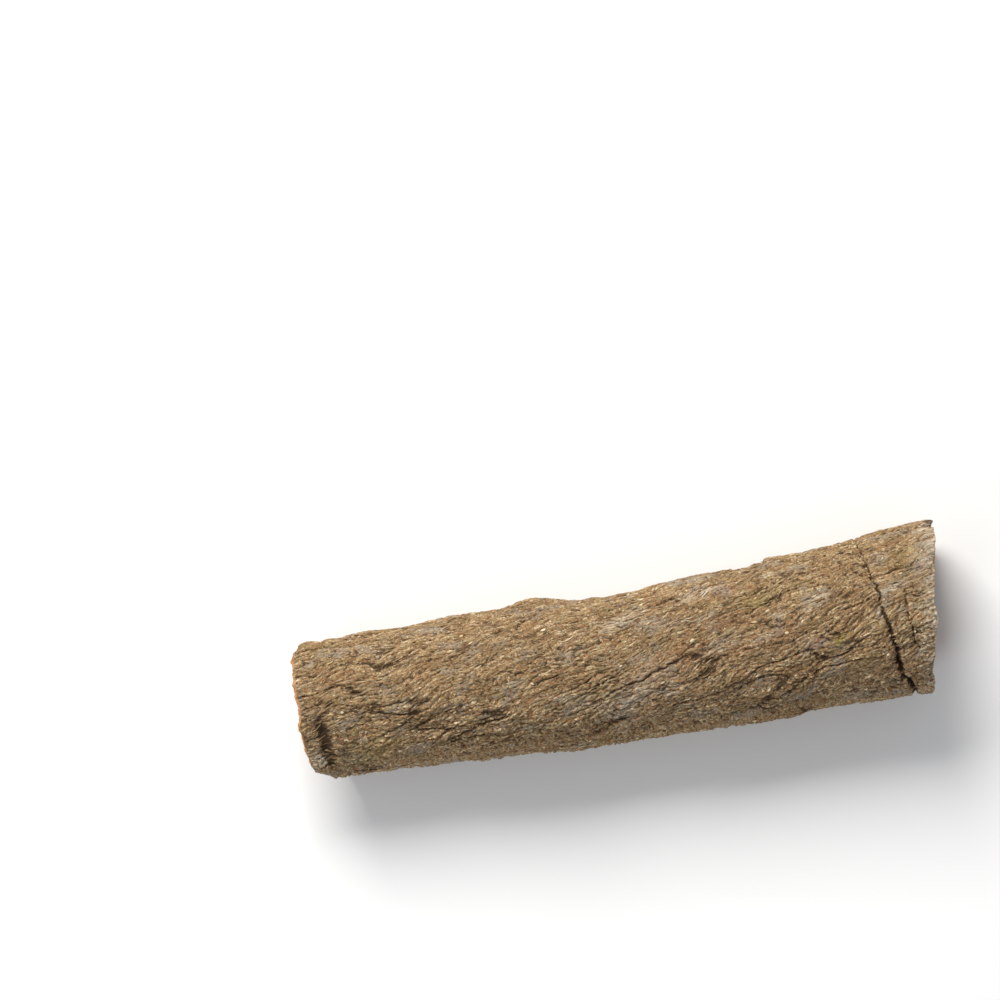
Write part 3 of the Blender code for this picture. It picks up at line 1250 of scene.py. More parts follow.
@dataclass(frozen=True)
class CorkFinish:
    """Dry grey-brown cork: tan strands with pale tips, rust and grey granules, tinted patches,
    and painted shade in the creases, cracks and knife ring."""

    # The painted shade mixed in where the creases, cracks and knife ring are
    crease: Colour = paint(49, 34, 21)
    shade: Colour = paint(97, 74, 50)
    middle: Colour = paint(136, 110, 78)
    strand: Colour = paint(175, 148, 108)
    tip: Colour = paint(231, 212, 178)
    rust: Colour = paint(140, 91, 65)
    ochre: Colour = paint(190, 146, 88)
    grey: Colour = paint(150, 142, 130)
    olive: Colour = paint(122, 110, 66)
    umber: Colour = paint(150, 107, 69)
    moss: Colour = paint(130, 122, 46)
    pale: Colour = paint(224, 212, 192)
    roughness: float = 0.88

    def material(self) -> bpy.types.Material:
        """Builds the material from the cork's attributes."""
        sketch = NodeSketch("cork")
        lines = sketch.attribute("fibre_lines", "Vector")
        # Painted shade: 1 on crests, 0 in creases, cracks, the knife ring and the lip furrow
        crest_light = sketch.attribute("crest_light")
        straight = sketch.attribute("straight")
        bloom = sketch.add("ShaderNodeSeparateColor")
        sketch.join(sketch.attribute("bloom", "Color"), bloom.inputs[0])

        short = sketch.noise(lines, (1.15, 3.7, 0.0), 3.0, 0.9)
        long = sketch.noise(lines, (0.4, 3.6, 0.0), 3.0, 0.5)
        change = sketch.sum("MULTIPLY", sketch.sum("SUBTRACT", long, short), straight)
        strands = sketch.sum("ADD", short, change)
        grain = sketch.noise(lines, (3.4, 8.4, 0.0), 2.0, 0.6)
        blotch = sketch.noise(lines, (0.17, 0.32, 0.0), 3.0, 0.4)
        other = sketch.noise(sketch.shifted(lines, (31.0, 17.0, 0.0)), (0.2, 0.36, 0.0), 3.0)
        cloud = sketch.noise(sketch.shifted(lines, (83.0, 29.0, 0.0)), (0.32, 0.7, 0.0), 2.0)
        granule = sketch.noise(sketch.shifted(lines, (7.0, 53.0, 0.0)), (1.5, 2.9, 0.0), 2.0)
        speck = sketch.noise(sketch.shifted(lines, (67.0, 5.0, 0.0)), (2.5, 4.2, 0.0), 1.0)
        tint_spot = sketch.noise(sketch.shifted(lines, (19.0, 71.0, 0.0)), (1.7, 3.2, 0.0), 2.0)

        tone = sketch.sum("MULTIPLY_ADD", strands, 1.2)
        tone.node.inputs[2].default_value = -0.655
        tone = sketch.sum("ADD", tone, sketch.sum("MULTIPLY", grain, 1.0))
        # Painted light: the crests are a little lighter
        tone = sketch.sum("ADD", tone, sketch.sum("MULTIPLY", crest_light, 0.14))
        tone = sketch.sum("ADD", tone, sketch.sum("MULTIPLY", cloud, 0.5))
        tone = sketch.sum("SUBTRACT", tone, 0.25)
        colour = sketch.ramp(
            tone,
            ((0.2, self.shade), (0.46, self.middle), (0.68, self.strand), (0.88, self.tip)),
        )
        greyer = sketch.sum("SUBTRACT", 0.9, sketch.sum("MULTIPLY", straight, 0.42))
        for mask, tint, share in (
            (sketch.between(blotch, 0.52, 0.64), self.umber, 0.28),
            (sketch.between(blotch, 0.47, 0.35), self.grey, 0.62),
            (sketch.between(other, 0.55, 0.68), self.olive, 0.42),
            (sketch.between(granule, 0.56, 0.62), self.rust, 0.66),
            (sketch.between(granule, 0.42, 0.34), self.grey, greyer),
            (sketch.between(tint_spot, 0.56, 0.63), self.olive, 0.42),
            (sketch.between(tint_spot, 0.43, 0.36), self.umber, 0.46),
            (sketch.between(speck, 0.63, 0.68), self.ochre, 0.66),
            (sketch.between(speck, 0.36, 0.3), self.tip, 0.6),
        ):
            colour = sketch.mix(sketch.sum("MULTIPLY", mask, share), colour, tint)
        patchy = sketch.between(strands, 0.36, 0.6)
        # The red share holds the pale patches and the painted light at the thick end's rim
        for output, tint, share in (
            ("Red", self.pale, 0.74),
            ("Green", self.moss, 0.66),
            ("Blue", self.rust, 0.6),
        ):
            strength = sketch.sum("MULTIPLY", bloom.outputs[output], share)
            colour = sketch.mix(sketch.sum("MULTIPLY", strength, patchy), colour, tint)
        # Painted shade in the creases, cracks, knife ring and lip furrow
        crease_shade_share = sketch.sum("SUBTRACT", 1.0, sketch.between(crest_light, 0.0, 0.6))
        colour = sketch.mix(sketch.sum("MULTIPLY", crease_shade_share, 0.8), colour, self.crease)
        sketch.join(colour, sketch.shader.inputs["Base Color"])
        sketch.shader.inputs["Roughness"].default_value = self.roughness
        sketch.shader.inputs["Specular IOR Level"].default_value = 0.25
        height = sketch.sum("ADD", sketch.sum("MULTIPLY", strands, 0.8), grain)
        sketch.join(sketch.bump(height, 0.22, 1.0), sketch.shader.inputs["Normal"])
        return sketch.material


@dataclass(frozen=True)
class StrandFinish:
    """Loose strands and flakes of cork, each in its own tone from dark brown to straw."""

    dark: Colour = paint(84, 64, 46)
    middle: Colour = paint(150, 121, 86)
    straw: Colour = paint(206, 180, 138)
    pale: Colour = paint(230, 214, 186)
    roughness: float = 0.85

    def material(self, name: str) -> bpy.types.Material:
        """Builds the material.

        Args:
            name: The material's name.

        Returns:
            The material.
        """
        sketch = NodeSketch(name)
        tone = sketch.attribute("tone")
        lines = sketch.attribute("fibre_lines", "Vector")
        streak = sketch.noise(lines, (0.9, 6.0, 0.0), 2.0)
        shaded = sketch.sum("ADD", tone, sketch.sum("MULTIPLY", streak, 0.3))
        shaded = sketch.sum("SUBTRACT", shaded, 0.15)
        colour = sketch.ramp(
            shaded,
            ((0.05, self.dark), (0.4, self.middle), (0.75, self.straw), (1.0, self.pale)),
        )
        sketch.join(colour, sketch.shader.inputs["Base Color"])
        sketch.shader.inputs["Roughness"].default_value = self.roughness
        sketch.shader.inputs["Specular IOR Level"].default_value = 0.25
        sketch.join(sketch.bump(streak, 0.05, 0.6), sketch.shader.inputs["Normal"])
        return sketch.material


@dataclass(frozen=True)
class InnerBarkFinish:
    """Inner bark: orange-tan and granular where it is cut, reddish brown and finely
    streaked on its inner face."""

    cut_light: Colour = paint(214, 166, 112)
    cut_middle: Colour = paint(178, 124, 76)
    cut_dark: Colour = paint(112, 74, 46)
    face_light: Colour = paint(172, 116, 72)
    face_middle: Colour = paint(134, 88, 54)
    face_dark: Colour = paint(88, 58, 38)
    roughness: float = 0.78

    def material(self, name: str) -> bpy.types.Material:
        """Builds the material.

        Args:
            name: The material's name.

        Returns:
            The material.
        """
        sketch = NodeSketch(name)
        lines = sketch.attribute("wall_lines", "Vector")
        cut = sketch.attribute("cut")
        granules = sketch.noise(lines, (2.6, 2.6, 4.5), 5.0, 0.6)
        layers = sketch.noise(lines, (0.25, 0.25, 2.2), 2.0)
        cut_tone = sketch.sum("MULTIPLY_ADD", granules, 0.85)
        sketch.join(sketch.sum("MULTIPLY", layers, 0.35), cut_tone.node.inputs[2])
        cut_colour = sketch.ramp(
            cut_tone,
            ((0.4, self.cut_dark), (0.56, self.cut_middle), (0.73, self.cut_light)),
        )
        streaks = sketch.noise(lines, (0.12, 3.0, 0.0), 4.0, 0.15)
        broad = sketch.noise(lines, (0.05, 0.35, 0.0), 2.0)
        face_tone = sketch.sum("ADD", sketch.sum("MULTIPLY", streaks, 0.6), broad)
        face_tone = sketch.sum("MULTIPLY", face_tone, 0.62)
        face_colour = sketch.ramp(
            face_tone,
            ((0.34, self.face_dark), (0.5, self.face_middle), (0.68, self.face_light)),
        )
        colour = sketch.mix(cut, face_colour, cut_colour)
        sketch.join(colour, sketch.shader.inputs["Base Color"])
        sketch.shader.inputs["Roughness"].default_value = self.roughness
        sketch.shader.inputs["Specular IOR Level"].default_value = 0.3
        height = sketch.sum("ADD", sketch.sum("MULTIPLY", streaks, 0.5), granules)
        sketch.join(sketch.bump(height, 0.2, 0.8), sketch.shader.inputs["Normal"])
        return sketch.material


@dataclass(frozen=True)
class FloorFinish:
    """A plain, nearly white, matt floor."""

    colour: Colour = (0.93, 0.93, 0.93, 1.0)
    roughness: float = 0.9

    def material(self) -> bpy.types.Material:
        """Builds the material."""
        sketch = NodeSketch("floor")
        sketch.shader.inputs["Base Color"].default_value = self.colour
        sketch.shader.inputs["Roughness"].default_value = self.roughness
        sketch.shader.inputs["Specular IOR Level"].default_value = 0.0
        return sketch.material


def slab(rows: Array, columns: Array, rim_cuts: int) -> tuple[bmesh.types.BMesh, list[Array]]:
    """A closed slab of sheet: a grid, extruded through, with its rim faces cut into strips.

    Args:
        rows: Places of the grid's rows.
        columns: Places of its columns, -1 to 1.
        rim_cuts: How many cuts divide the rim's faces.

    Returns:
        The mesh, and the row, the column and the depth of each vertex. Depth is 0 on the
        outer face and 1 on the inner.
    """
    mesh = bmesh.new()
    layers = [mesh.verts.layers.float.new(name) for name in ("row", "across", "depth")]
    row, across, depth = layers
    spans = len(rows) - 1, len(columns) - 1
    bmesh.ops.create_grid(mesh, x_segments=spans[0], y_segments=spans[1], size=1.0)
    for vert in mesh.verts:
        vert[row] = rows[round((vert.co.x + 1) / 2 * spans[0])]
        vert[across] = columns[round((vert.co.y + 1) / 2 * spans[1])]
        vert[depth] = 1.0
    grown = bmesh.ops.extrude_face_region(mesh, geom=list(mesh.faces))
    for item in grown["geom"]:
        if isinstance(item, bmesh.types.BMVert):
            item[depth] = 0.0
    if rim_cuts:
        rungs = [e for e in mesh.edges if abs(e.verts[0][depth] - e.verts[1][depth]) > 0.5]
        bmesh.ops.subdivide_edges(mesh, edges=rungs, cuts=rim_cuts)
    for face in mesh.faces:
        depths = [loop.vert[depth] for loop in face.loops]
        if max(depths) - min(depths) > 0.01:
            for edge in face.edges:
                edge.smooth = False
    mesh.verts.index_update()
    values = [np.array([vert[layer] for vert in mesh.verts]) for layer in layers]
    return mesh, values


def finish_mesh(
    name: str, mesh: bmesh.types.BMesh, points: Array, values: dict[str, Array]
) -> bpy.types.Object:
    """Moves a mesh's vertices to their places and makes it an object with attributes.

    Args:
        name: The object's name.
        mesh: The mesh, which is freed.
        points: The vertices' places, in metres.
        values: Attributes to write, by name: one number, three or four for each vertex.

    Returns:
        The object, in the scene.
    """
    for vert, point in zip(mesh.verts, points.tolist()):
        vert.co = point
    bmesh.ops.recalc_face_normals(mesh, faces=list(mesh.faces))
    for layer in list(mesh.verts.layers.float.values()):
        mesh.verts.layers.float.remove(layer)
    data = bpy.data.meshes.new(name)
    mesh.to_mesh(data)
    mesh.free()
    for label, value in values.items():
        width = 1 if value.ndim == 1 else value.shape[1]
        kind, slot = {1: ("FLOAT", "value"), 3: ("FLOAT_VECTOR", "vector")}.get(
            width, ("FLOAT_COLOR", "color")
        )
        attribute = data.attributes.new(label, kind, "POINT")
        attribute.data.foreach_set(slot, np.ascontiguousarray(value, np.float32).ravel())
    data.shade_smooth()
    made = bpy.data.objects.new(name, data)
    bpy.context.scene.collection.objects.link(made)
    return made


def spread(start: float, end: float, gap: float) -> list[float]:
    """Evenly spaced places from a start up to, but without, an end.

    Args:
        start: The first place.
        end: Where the next run begins.
        gap: The widest gap.

    Returns:
        The places.
    """
    count = max(1, math.ceil(abs(end - start) / gap))
    return [start + (end - start) * step / count for step in range(count)]


@dataclass(frozen=True)
class Plate:
    """One piece of the cork skin: where it starts and ends along the quill and across the
    sheet."""

    name: str
    rows: tuple[float, float]
    across: tuple[float, float]


@dataclass
class CorkSkin:
    """The corky outer layer, in plates that join at the knife ring and where no crag is
    broken. It stops short of the torn rims."""

    sheet: RolledSheet
    relief: CorkRelief
    thickness: float = 0.55
    edge_thickness: float = 0.28
    bare_thin_rim: float = 0.16
    bare_thick_rim: float = -0.12
    bare_seam: float = 0.9
    joins: tuple[float, float] = (-18.0, 10.0)
    row_gap: float = 0.135
    ring_row_gap: float = 0.09
    column_gap: float = 0.115
    roll_column_gap: float = 0.3
    ring_zone: float = 1.0
    hidden_share: float = 0.1
    worn_edge: float = 0.8
    worn_calm: float = 0.5
    worn_depth: float = 0.12
    reach: tuple[float, float, float] = (4.0, 3.5, 5.0)
    thin_rim_limits: tuple[float, float] = (-0.1, 1.0)
    thick_rim_rag: float = 0.28
    thick_rim_limits: tuple[float, float] = (-0.5, 0.4)
    seam_rag: Grain = Grain(5.0, 1.0, 16.0, 1.4)
    seam_limits: tuple[float, float] = (0.15, 2.0)

    def rows(self) -> Array:
        """Places of the rows, closest at the knife ring."""
        ring, gap, zone = self.sheet.ring_place, self.row_gap, self.ring_zone
        stops = (self.sheet.thin_end, *self.joins, ring - zone, ring, ring + zone)
        gaps = (gap, gap, gap, self.ring_row_gap, self.ring_row_gap, gap)
        places: list[float] = []
        for start, end, step in zip(stops, (*stops[1:], self.sheet.thick_end), gaps):
            places += spread(start, end, step)
        return np.array(places + [self.sheet.thick_end])

    def plates(self) -> tuple[Plate, ...]:
        """The plates, from the thin end to the thick one, and then the rolled edges."""
        thin, thick, ring = self.sheet.thin_end, self.sheet.thick_end, self.sheet.ring_place
        first, second = self.joins
        back = (-BACK_EDGE, BACK_EDGE)
        return (
            Plate("cork_thin_end", (thin, first), back),
            Plate("cork_middle", (first, second), back),
            Plate("cork_thick_end", (second, ring), back),
            Plate("cork_collar", (ring, thick), back),
            Plate("cork_front_roll", (thin, thick), (-1.0, -BACK_EDGE)),
            Plate("cork_back_roll", (thin, thick), (BACK_EDGE, 1.0)),
        )

    def build(self) -> list[bpy.types.Object]:
        """Builds and dresses the skin.

        Returns:
            The plates.
        """
        finish = CorkFinish().material()
        return [self.build_plate(plate, finish) for plate in self.plates()]

    def build_plate(self, plate: Plate, finish: bpy.types.Material) -> bpy.types.Object:
        """Builds and dresses one plate.

        Args:
            plate: Which plate.
            finish: Its material.

        Returns:
            The plate.
        """
        rows = self.rows()
        columns = self.sheet.columns(self.column_gap, self.roll_column_gap)
        rows = rows[(rows >= plate.rows[0]) & (rows <= plate.rows[1])]
        columns = columns[(columns >= plate.across[0]) & (columns <= plate.across[1])]
        mesh, (row, across, depth) = slab(rows, columns, 0)
        on_rim = np.isclose(row, rows[0], atol=0.001) | np.isclose(row, rows[-1], atol=0.001)
        on_rim |= np.isclose(across, columns[0], atol=1e-5)
        on_rim |= np.isclose(across, columns[-1], atol=1e-5)
        from_thin = row - self.sheet.thin_end
        from_thick = self.sheet.thick_end - row
        to_seam = self.sheet.to_seam(across)
        row, across = self.drawn_back(row, across)
        places = self.sheet.from_grid(row, across)
        crust = self.relief.crust(places)
        from_edge = np.minimum(np.minimum(from_thin, from_thick), to_seam)
        worn = 1 - smooth_step(0.0, self.worn_edge, from_edge)
        outer = places.relief + crust.height * (1 - self.worn_calm * worn)
        outer = outer - self.worn_depth * worn
        thickness = self.edge_thickness + (self.thickness - self.edge_thickness) * (1 - worn)
        ring = self.relief.ring_depth_at(places)
        under = np.minimum(places.relief - ring, outer) - thickness
        height = outer + (under - outer) * depth
        skin = finish_mesh(
            plate.name,
            mesh,
            places.lifted(height, self.sheet.press, depth * self.edge_thickness),
            {
                "crest_light": crust.crest_light,
                "fibre_lines": np.stack([crust.with_fibre, crust.over_fibre, depth], 1),
                "bloom": self.relief.bloom(places),
                "straight": crust.straight,
            },
        )
        self.thin_hidden_side(skin, np.flatnonzero((depth > 0.99) & ~on_rim))
        skin.data.materials.append(finish)
        return skin

    def drawn_back(self, row: Array, across: Array) -> tuple[Array, Array]:
        """Draws the skin back raggedly from the torn rims and the rolled edges.

        Args:
            row: The vertices' rows.
            across: Their columns.

        Returns:
            The new rows and columns.
        """
        thin_reach, thick_reach, seam_reach = self.reach
        uneven = 1.5 * perlin(across * 11.0, 3.0, 15.0) + 1.1 * perlin(across * 34.0, 5.0, 17.0)
        bare = np.clip(self.bare_thin_rim * (1.0 + uneven), *self.thin_rim_limits)
        near = np.maximum(1 - (row - self.sheet.thin_end) / thin_reach, 0.0)
        new_row = row + bare * near
        bare = self.bare_thick_rim + self.thick_rim_rag * uneven
        near = np.maximum(1 - (self.sheet.thick_end - row) / thick_reach, 0.0)
        new_row = new_row - np.clip(bare, *self.thick_rim_limits) * near
        uneven = 1.0 + self.seam_rag.at(row, np.sign(across) * 4.0)
        bare = np.clip(self.bare_seam * uneven, *self.seam_limits)
        near = np.maximum(1 - self.sheet.to_seam(across) / seam_reach, 0.0)
        shift = np.sign(across) * bare / self.sheet.to_seam(np.zeros(1)) * near
        return new_row, across - shift

    def thin_hidden_side(self, skin: bpy.types.Object, hidden: Array) -> None:
        """Takes faces out of the side that lies against the inner bark.

        Args:
            skin: The plate.
            hidden: The vertices that may go.
        """
        group = skin.vertex_groups.new(name="hidden")
        group.add(hidden.tolist(), 1.0, "REPLACE")
        modifier = skin.modifiers.new("thin_hidden_side", "DECIMATE")
        modifier.vertex_group = group.name
        modifier.ratio = 0.5 + self.hidden_share / 2
        with bpy.context.temp_override(object=skin, active_object=skin):
            bpy.ops.object.modifier_apply(modifier=modifier.name)
        skin.vertex_groups.clear()


@dataclass
class InnerBark:
    """The fibrous layer under the cork, with torn rims and a finely grained inner face."""

    sheet: RolledSheet
    relief: CorkRelief
    cork: float = 0.5
    ground: float = 0.2
    swell_share: float = 0.25
    ring_widening: float = 2.6
    row_gap: float = 0.62
    end_row_gap: float = 0.434
    column_gap: float = 0.42
    cut_edge: float = 0.5
    rim_cuts: int = 7
    rim_crown: tuple[float, float] = (0.2, 0.05)
    rim_recess: tuple[float, float] = (0.0, 0.12)
    rim_grain: float = 0.2
    face_grain: float = 0.05

    def build(self) -> list[bpy.types.Object]:
        """Builds and dresses the inner bark.

        Returns:
            The inner bark, as a list of one.
        """
        sheet = self.sheet
        rows = spread(sheet.thin_end, sheet.ring_place, self.row_gap)
        rows += spread(sheet.ring_place, sheet.thick_end, self.end_row_gap)
        rows.append(sheet.thick_end)
        columns = sheet.columns(self.column_gap, self.column_gap)
        mesh, (row, across, depth) = slab(np.array(rows), columns, self.rim_cuts)
        places = sheet.from_grid(row, across)
        ring = self.relief.ring_depth_at(places, self.ring_widening)
        outer = places.relief - ring - self.cork
        inner = places.relief * self.swell_share - places.wall
        inner += self.face_grain * perlin(places.x / 9.0, places.girth / 0.9, 100.0)
        height = outer + (inner - outer) * depth
        ground = self.ground + depth
        points = places.lifted(height, sheet.press, ground)
        points += self.rim_bulge(row, across, depth, places) * MM
        points[:, 2] = np.maximum(points[:, 2], ground * MM)
        to_rim = np.minimum(row - sheet.thin_end, sheet.thick_end - row)
        to_rim = np.minimum(to_rim, sheet.to_seam(across))
        to_rim = to_rim + self.rim_grain * perlin(places.x, places.girth, 101.0)
        cut = 1 - smooth_step(0.0, self.cut_edge, to_rim)
        cut = np.where((depth > 0.01) & (depth < 0.99), 1.0, cut)
        wall_lines = np.stack([places.x, places.girth, depth * 2.0], 1)
        bark = finish_mesh("inner_bark", mesh, points, {"cut": cut, "wall_lines": wall_lines})
        bark.data.materials.append(InnerBarkFinish().material("inner_bark"))
        return [bark]

    def rim_bulge(self, row: Array, across: Array, depth: Array, places: Places) -> Array:
        """How far the rim's vertices stand out of a flat cut.

        Args:
            row: The vertices' rows.
            across: Their columns.
            depth: Their depths.
            places: Their places on the roll.

        Returns:
            Shifts in millimetres, one row for each vertex.
        """
        crown = 4 * depth * (1 - depth)
        torn = perlin(places.girth / 0.55, depth * 5.0, 102.0)
        torn = self.rim_grain * (torn + 0.8 * perlin(places.girth / 1.7, depth * 1.3, 103.0))
        thin, thick = (
            torn + height * crown - recess
            for height, recess in zip(self.rim_crown, self.rim_recess)
        )
        shift = np.zeros((len(row), 3))
        shift[:, 0] -= np.where(row < self.sheet.thin_end + 0.001, thin, 0.0)
        shift[:, 0] += np.where(row > self.sheet.thick_end - 0.001, thick, 0.0)
        seam = np.abs(across) > 0.9999
        side = np.sign(across)
        onward = np.stack(
            [np.zeros_like(row), side * np.cos(places.turn), -side * np.sin(places.turn)], 1
        )
        torn = self.rim_grain * perlin(places.x / 1.4, depth * 4.0, 104.0)
        stand = np.where(seam, self.rim_crown[0] * crown + torn, 0.0)
        return shift + onward * stand[:, None]


@dataclass
class Scatter:
    """Many small pieces of one kind, joined in one mesh, that follow the roll's face."""

    sheet: RolledSheet
    relief: CorkRelief
    seed: int
    rim_room: float = 1.3
    reach: float = 0.78
    ground: float = 0.08

    @staticmethod
    def copies(template: bmesh.types.BMesh, count: int) -> tuple[bmesh.types.BMesh, Array]:
        """Repeats a small mesh.

        Args:
            template: The mesh to repeat, which is freed.
            count: How many copies to make.

        Returns:
            The joined mesh, and the template's vertices, one row for each.
        """
        shape = np.array([vert.co[:] for vert in template.verts])
        data = bpy.data.meshes.new("template")
        template.to_mesh(data)
        template.free()
        mesh = bmesh.new()
        for _ in range(count):
            mesh.from_mesh(data)
        bpy.data.meshes.remove(data)
        return mesh, shape

    def drawn_places(self, draw: np.random.Generator, count: int) -> Places:
        """Random places on the cork, clear of the torn rims.

        Args:
            draw: The source of random numbers.
            count: How many places.

        Returns:
            The places.
        """
        low, high = self.sheet.thin_end + self.rim_room, self.sheet.thick_end - self.rim_room
        row = draw.uniform(low, high, count)
        return self.sheet.from_grid(row, draw.uniform(-self.reach, self.reach, count))

    def fibre_direction(self, x: Array, girth: Array) -> Array:
        """Which way the bark's fibres run.

        Args:
            x: Places along the quill.
            girth: Signed distances round the outer face.

        Returns:
            The angle from X towards +Y round the face, in radians.
        """
        step = 0.25
        here = self.relief.fibre_lines(x, girth)[1]
        by_x = (self.relief.fibre_lines(x + step, girth)[1] - here) / step
        by_girth = (self.relief.fibre_lines(x, girth + step)[1] - here) / step
        return np.arctan2(-by_x, by_girth)

    def face_radius(self, x: Array, turn: Array) -> Array:
        """The face's own radius, which is smaller on the curls.

        Args:
            x: Places along the quill.
            turn: Signed turns, in radians.

        Returns:
            The radii.
        """
        radius, _ = self.sheet.outline_at(x)
        degrees = np.abs(np.degrees(turn))
        return radius * (1 - 0.6 * smooth_step(112.0, 152.0, degrees))


@dataclass
class BarkStrands(Scatter):
    """Loose strands of cork that lie with the fibre, some with a lifted end."""

    count: int = 3400
    length: tuple[float, float] = (0.6, 2.2)
    width: tuple[float, float] = (0.1, 0.22)
    sides: int = 5
    cuts: int = 3

    def template(self) -> bmesh.types.BMesh:
        """One straight strand from -1 to 1 along X, one unit in radius."""
        mesh = bmesh.new()
        bmesh.ops.create_cone(
            mesh, cap_ends=True, segments=self.sides, radius1=1.0, radius2=1.0, depth=2.0
        )
        long_edges = [e for e in mesh.edges if abs(e.verts[0].co.z - e.verts[1].co.z) > 1.0]
        bmesh.ops.subdivide_edges(mesh, edges=long_edges, cuts=self.cuts)
        for vert in mesh.verts:
            vert.co = (vert.co.z, vert.co.x, vert.co.y)
        return mesh

    def build(self) -> list[bpy.types.Object]:
        """Scatters and dresses the strands.

        Returns:
            The strands, as a list of one object.
        """
        draw = np.random.default_rng(self.seed)
        mesh, shape = self.copies(self.template(), self.count)
        count, size = self.count, len(shape)
        start = self.drawn_places(draw, count)
        x0, turn0 = start.x, start.turn
        radius = self.face_radius(x0, turn0)
        heading = self.fibre_direction(x0, start.girth) + draw.normal(0, 0.2, count)
        length = draw.uniform(*self.length, count) * draw.uniform(0.6, 1.0, count) / 2
        width = draw.uniform(*self.width, count) / 2
        bow = draw.normal(0, 0.16, count) * length
        lifted = draw.uniform(0, 1, count) ** 4 * 0.3 * np.sign(draw.uniform(-1, 1, count))
        tone = draw.normal(0.42, 0.18, count) + 0.35 * (draw.uniform(0, 1, count) < 0.14)
        tone = np.clip(tone, 0.0, 1.0)

        along = np.tile(shape[:, 0], count)
        pick = np.repeat(np.arange(count), size)
        taper = np.sqrt(np.clip(1.06 - along**2, 0.02, 1.0))
        lean = along * length[pick]
        aside = bow[pick] * along**2 + np.tile(shape[:, 1], count) * width[pick] * taper
        cos, sin = np.cos(heading[pick]), np.sin(heading[pick])
        x = x0[pick] + lean * cos - aside * sin
        turn = turn0[pick] + (lean * sin + aside * cos) / radius[pick]
        places = self.sheet.at(x, turn)
        crust = self.relief.crust(places)
        thick = np.tile(shape[:, 2], count) * width[pick] * taper * 0.62
        raised = 0.03 + np.maximum(lifted[pick] * along, 0.0) * 0.6 - 0.08 * along**2
        base = places.relief + crust.height * 0.55
        made = finish_mesh(
            "bark_strands",
            mesh,
            places.lifted(base + raised + thick, self.sheet.press, self.ground),
            {
                # Painted shade: strands that lie in creases are darker
                "tone": tone[pick] * (0.65 + 0.35 * crust.crest_light),
                "fibre_lines": np.stack([crust.with_fibre, crust.over_fibre, along], 1),
            },
        )
        made.data.materials.append(StrandFinish().material("bark_strands"))
        return [made]


@dataclass
class CorkFlakes(Scatter):
    """Small thin plates of cork, each lifted a little along one side."""

    count: int = 1300
    size: tuple[float, float] = (0.15, 0.5)
    corners: int = 6
    thickness: float = 0.06

    def template(self) -> bmesh.types.BMesh:
        """One flat plate of unit radius, half a unit thick, with a raised middle."""
        mesh = bmesh.new()
        bmesh.ops.create_circle(mesh, cap_ends=True, segments=self.corners, radius=1.0)
        bmesh.ops.poke(mesh, faces=list(mesh.faces))
        bmesh.ops.extrude_face_region(mesh, geom=list(mesh.faces))
        for vert in list(mesh.verts)[len(mesh.verts) // 2 :]:
            vert.co.z += 1.0
            vert.co.x *= 0.86
            vert.co.y *= 0.86
        return mesh

    def build(self) -> list[bpy.types.Object]:
        """Scatters and dresses the flakes.

        Returns:
            The flakes, as a list of one object.
        """
        draw = np.random.default_rng(self.seed)
        mesh, shape = self.copies(self.template(), self.count)
        count, size = self.count, len(shape)
        start = self.drawn_places(draw, count)
        x0, turn0 = start.x, start.turn
        radius = self.face_radius(x0, turn0)
        heading = self.fibre_direction(x0, start.girth) + draw.normal(0, 0.35, count)
        reach = draw.uniform(*self.size, count) * draw.uniform(0.5, 1.0, count)
        narrow = draw.uniform(0.3, 0.7, count)
        tilt = draw.normal(0, 0.22, count)
        tone = draw.normal(0.36, 0.18, count) + 0.45 * (draw.uniform(0, 1, count) < 0.16)
        tone = np.clip(tone, 0.0, 1.0)

        pick = np.repeat(np.arange(count), size)
        local = np.tile(shape, (count, 1))
        corner = np.arctan2(local[:, 1], local[:, 0])
        uneven = 1 + 0.6 * perlin(np.cos(corner) * 1.4, np.sin(corner) * 1.4, pick * 3.7)
        lean = local[:, 0] * reach[pick] * uneven
        aside = local[:, 1] * reach[pick] * narrow[pick] * uneven
        cos, sin = np.cos(heading[pick]), np.sin(heading[pick])
        x = x0[pick] + lean * cos - aside * sin
        turn = turn0[pick] + (lean * sin + aside * cos) / radius[pick]
        places = self.sheet.at(x, turn)
        crust = self.relief.crust(places)
        height = places.relief + crust.height * 0.5 + tilt[pick] * aside
        height = height + (local[:, 2] - 0.4) * self.thickness + 0.05
        made = finish_mesh(
            "cork_flakes",
            mesh,
            places.lifted(height, self.sheet.press, self.ground),
            {
                # Painted shade: flakes that lie in creases are darker
                "tone": tone[pick] * (0.7 + 0.3 * crust.crest_light),
                "fibre_lines": np.stack([crust.with_fibre, crust.over_fibre, local[:, 2]], 1),
            },
        )
        made.data.materials.append(StrandFinish().material("cork_flakes"))
        return [made]


